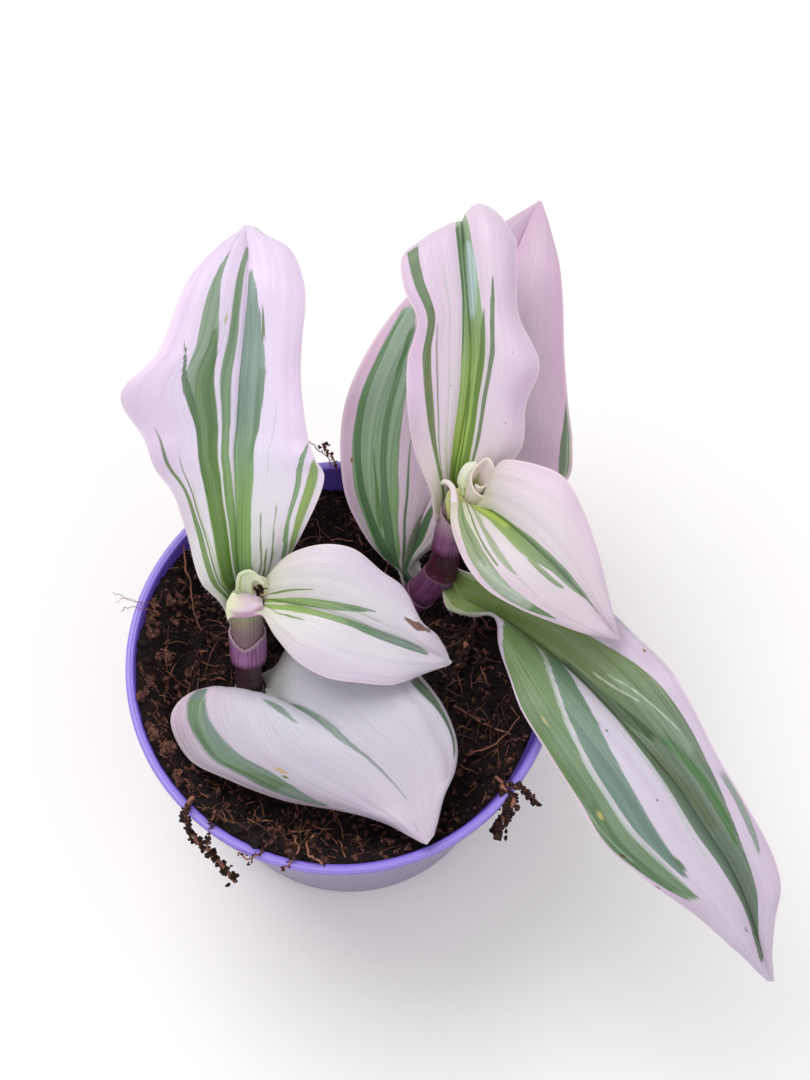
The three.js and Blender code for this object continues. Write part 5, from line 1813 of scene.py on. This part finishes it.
dark_share = []
dry_share = []
for number, spot in enumerate(crumb_spots()):
    in_heap = heap_at(math.atan2(spot[1], spot[0])) > 5.5 and math.hypot(spot[0], spot[1]) > 20
    if number % 3 == 2 or (in_heap and number % 3 == 1):
        dry_share.append(spot)
    else:
        dark_share.append(spot)
CRUMB_SKINS = [
    peat_finish("dark crumbs", "#0b0506", "#2a1512", "#6a4539", 1300.0),
    peat_finish("dry crumbs", "#2c1814", "#82564a", "#c6a496", 1300.0),
]
for kind, (name, share) in enumerate((("dark_crumbs", dark_share), ("dry_crumbs", dry_share))):
    crumbs = scatter_crumbs(name, share, 5 + kind)
    crumbs.data.materials.append(CRUMB_SKINS[kind])
    finish_piece(crumbs, "peat")

# %% Fibres
def draw_fibres(name, lines, radii):
    """lines: lists of (x, y, z) in millimetres, made round by a bevel and turned into mesh"""
    data = bpy.data.curves.new(name, "CURVE")
    data.dimensions = "3D"
    data.bevel_depth = 1.0
    data.bevel_resolution = 0
    data.resolution_u = 3
    data.use_fill_caps = True
    for index, line in enumerate(lines):
        spline = data.splines.new("BEZIER")
        spline.bezier_points.add(len(line) - 1)
        for point, spot in zip(spline.bezier_points, line):
            point.co = Vector(spot) * MM
            point.radius = radii[index % len(radii)] * MM
            point.handle_left_type = "AUTO"
            point.handle_right_type = "AUTO"
    strands = bpy.data.objects.new(name, data)
    bpy.context.scene.collection.objects.link(strands)
    deselect_all()
    strands.select_set(True)
    bpy.context.view_layer.objects.active = strands
    bpy.ops.object.convert(target="MESH")
    strands = bpy.context.object
    for polygon in strands.data.polygons:
        polygon.use_smooth = True
    return strands


def fibre_lines(count, seed, longest=6.0, bend=0.16, heaped=False):
    dice = random.Random(seed)
    lines = []
    while len(lines) < count:
        angle = math.radians(dice.gauss(200, 32)) if heaped else dice.uniform(0, 2 * math.pi)
        reach = (wall_reach(angle) - 0.8) * dice.random() ** 0.42
        x = reach * math.cos(angle)
        y = reach * math.sin(angle)
        heading = dice.uniform(0, 2 * math.pi)
        length = longest * dice.uniform(0.12, 1) * dice.uniform(0.3, 1)
        arch = dice.uniform(0.0, 0.7)
        tilt = dice.uniform(-0.2, 1.2)
        line = []
        for step in range(5):
            part = step / 4
            heading += dice.gauss(0, bend)
            x += math.cos(heading) * length / 4
            y += math.sin(heading) * length / 4
            if math.hypot(x, y) > wall_reach(math.atan2(y, x)) or not clear_of_feet(x, y, 2.6):
                break
            line.append((x, y, peat_height(x, y, 0) + 0.35 + tilt * part + arch * math.sin(math.pi * part)))
        if len(line) >= 4:
            lines.append(line)
    return lines


FIBRES = fibre_lines(560, 23) + fibre_lines(80, 4, 13.0, 0.3) + fibre_lines(260, 9, 5.0, 0.2, True)
fibres = draw_fibres("coir_fibres", FIBRES, [0.03, 0.05, 0.08, 0.04, 0.12, 0.055, 0.035])


def fibre_finish():
    material, tree, fibre = new_material("coir")
    place = put(tree, "ShaderNodeTexCoord").outputs["Object"]
    tone = cloud(tree, place, 320, 2.0)
    grain = cloud(tree, place, 4000, 2.0)
    color = mix(tree, fade(tree, tone, 0.35, 0.65), paint("#45201a"), paint("#9a5f4a"))
    color = mix(tree, calc(tree, "MULTIPLY", grain, 0.35), color, paint("#a57e68"))
    tree.links.new(color, fibre.inputs["Base Color"])
    fibre.inputs["Roughness"].default_value = 0.75
    tree.links.new(bump(tree, grain, 0.5, 0.0001), fibre.inputs["Normal"])
    return material


COIR = fibre_finish()
fibres.data.materials.append(COIR)
finish_piece(fibres, "peat")

# %% [markdown]
# Whoever filled this pot was in a hurry: strands of coir and lumps of peat hang over the rim. Each
# spill is a few thick fibres along measured points, with crumbs threaded on them.

# %% Spilled peat
# Each strand: its points and its radius, in millimetres. The thinnest ones carry no crumbs.
THINNEST_THREADED = 0.14
STRANDS = [
    ([(-23.2, -22.8, 56.3), (-23.9, -24.6, 56.9), (-24.2, -26.0, 55.0), (-23.7, -27.5, 52.5),
      (-22.3, -29.1, 50.5), (-20.8, -30.2, 49.0), (-19.4, -31.2, 47.0), (-18.0, -32.5, 45.0),
      (-17.3, -33.5, 43.5)], 0.42),
    ([(-19.6, -25.0, 55.6), (-20.0, -26.9, 56.5), (-20.4, -28.6, 55.0), (-21.1, -29.8, 51.0)], 0.16),
    ([(-21.4, -29.6, 50.0), (-22.5, -28.6, 50.2), (-24.0, -28.0, 49.6)], 0.14),
    ([(24.4, -19.4, 54.6), (26.6, -21.2, 56.4), (28.1, -21.6, 56.6), (29.7, -22.3, 55.0),
      (30.7, -23.2, 54.0)], 0.3),
    ([(25.2, -21.0, 55.6), (26.9, -23.1, 55.6), (25.9, -24.7, 53.2), (25.0, -26.2, 51.0),
      (24.6, -27.6, 49.0)], 0.5),
    ([(-29.4, 9.0, 55.4), (-31.9, 9.6, 56.2), (-34.2, 9.4, 57.0), (-36.2, 10.4, 57.2),
      (-37.2, 11.0, 56.8)], 0.05),
    ([(-30.5, 7.4, 55.4), (-33.4, 9.4, 56.8), (-35.4, 9.9, 57.2), (-36.8, 9.4, 57.0)], 0.04),
    ([(-30.4, 8.2, 55.4), (-32.6, 8.4, 56.4), (-34.6, 8.6, 56.6), (-35.9, 8.0, 56.4)], 0.06),
    ([(-2.0, 33.0, 55.4), (-2.6, 34.6, 56.6), (-4.4, 36.4, 57.2), (-6.0, 37.6, 57.8)], 0.09),
    ([(-1.2, 33.4, 55.6), (-2.2, 35.2, 56.8), (-3.4, 36.8, 56.9), (-3.0, 38.0, 56.4)], 0.16),
    ([(-4.0, -28.4, 54.4), (-5.2, -30.6, 56.0), (-4.6, -32.4, 56.5), (-2.6, -33.6, 56.4)], 0.22),
    ([(-7.4, -28.6, 54.4), (-6.6, -30.8, 56.2), (-7.4, -33.0, 56.5), (-9.0, -34.4, 55.4)], 0.16),
    ([(-11.0, -29.6, 55.0), (-12.2, -31.6, 56.4), (-14.0, -32.8, 56.3), (-15.6, -31.8, 56.4)], 0.14),
    ([(-26.6, 20.4, 54.6), (-25.9, 16.4, 53.8), (-25.0, 12.0, 52.4), (-23.9, 7.1, 50.4)], 0.135),
    ([(21.7, 9.4, 48.4), (20.9, 6.7, 48.2), (19.5, 3.2, 47.8), (18.3, -0.2, 47.4)], 0.42),
    ([(20.4, 5.2, 48.2), (22.2, 3.4, 48.4), (23.0, 1.6, 48.2)], 0.2),
    ([(18.3, -5.4, 47.6), (22.3, -8.3, 48.4), (26.4, -10.5, 49.2), (29.6, -12.2, 50.2)], 0.2),
    ([(20.6, -13.8, 48.2), (24.7, -12.2, 49.0), (28.9, -7.9, 49.8)], 0.13),
]


def threaded_crumbs(seed):
    dice = random.Random(seed)
    in_hood = [[0.45 * dice.gauss(0, 1) for _ in range(3)] for _ in range(16)]
    spots = [(x - 12.6, y + 7.3, z + 68.8, dice.uniform(0.18, 0.42)) for x, y, z in in_hood]
    for line, radius in STRANDS:
        if radius < THINNEST_THREADED:
            continue
        for x, y, z in smooth_curve(line, np.linspace(0.1, 1, int(170 * radius) + 3)):
            size = (0.16 + 0.75 * radius) * dice.uniform(0.5, 1.4)
            shift = [dice.gauss(0, 0.16 + 0.7 * radius) for _ in range(3)]
            spots.append((x + shift[0], y + shift[1], z + shift[2], size))
    return spots


def roughened(line, seed):
    dice = random.Random(seed)
    fine = smooth_curve(line, np.linspace(0, 1, 3 * len(line)))
    return [tuple(spot + np.array([dice.gauss(0, 0.12) for _ in range(3)])) for spot in fine]


strands = draw_fibres("spilled_strands", [roughened(line, 7 * n) for n, (line, _) in enumerate(STRANDS)],
                      [radius for _, radius in STRANDS])
strands.data.materials.append(COIR)
finish_piece(strands, "peat")
spill = scatter_crumbs("spilled_crumbs", threaded_crumbs(3), 31)
spill.data.materials.append(peat_finish("spilled peat", "#1c0f0c", "#4a2f25", "#8a6a5a", 1500.0))
finish_piece(spill, "peat")

# %% [markdown]
# ## Hairs
# Young tradescantias are edged with short white hairs, most of all where a blade meets its sheath.
# They are the same thin bevelled curves as the fibres, only shorter and paler.

# %% White hairs
HAIR_LEAN = np.array([0, 0, 0.4])


def hairs_along(points, count, length, seed):
    dice = random.Random(seed)
    lines = []
    for spot in smooth_curve(points, np.linspace(0, 1, count)):
        way = np.array([dice.gauss(0, 1), dice.gauss(-0.6, 0.8), dice.gauss(0.2, 0.8)])
        way = unit(way) + HAIR_LEAN
        reach = length * dice.uniform(0.5, 1.1)
        bend = np.array([dice.gauss(0, 0.12) for _ in range(3)])
        lines.append([tuple(spot), tuple(spot + way * reach * 0.5 + bend), tuple(spot + way * reach)])
    return lines


def margin_points(name, side, start, end):
    rows, _ = blade_rows(LEAVES[name], np.array([-1.0, 0.0, 1.0]), np.linspace(start, end, 24))
    return rows[:, 0 if side < 0 else 2]


HAIR_ROWS = (
    hairs_along(margin_points("left_leaf_tall", -1, 0.03, 0.3), 70, 0.5, 1)
    + hairs_along(margin_points("left_leaf_tall", 1, 0.03, 0.2), 34, 0.5, 2)
    + hairs_along(margin_points("right_leaf_upright", -1, 0.0, 0.2), 60, 0.9, 3)
    + hairs_along(margin_points("right_leaf_back", -1, 0.0, 0.16), 30, 0.6, 4)
    + hairs_along(margin_points("right_leaf_back", 1, 0.0, 0.2), 40, 1.0, 5)
    + hairs_along(margin_points("right_leaf_long", 1, 0.0, 0.16), 30, 0.8, 6)
)
hairs = draw_fibres("white_hairs", HAIR_ROWS, [0.012, 0.016, 0.01])


def hair_finish():
    material, tree, hair = new_material("white hair")
    place = put(tree, "ShaderNodeTexCoord").outputs["Object"]
    tone = cloud(tree, place, 900, 2.0)
    color = mix(tree, tone, paint("#cfc9cf"), paint("#efeaea"))
    tree.links.new(color, hair.inputs["Base Color"])
    hair.inputs["Roughness"].default_value = 0.5
    return material


hairs.data.materials.append(hair_finish())
finish_piece(hairs, "leaf")
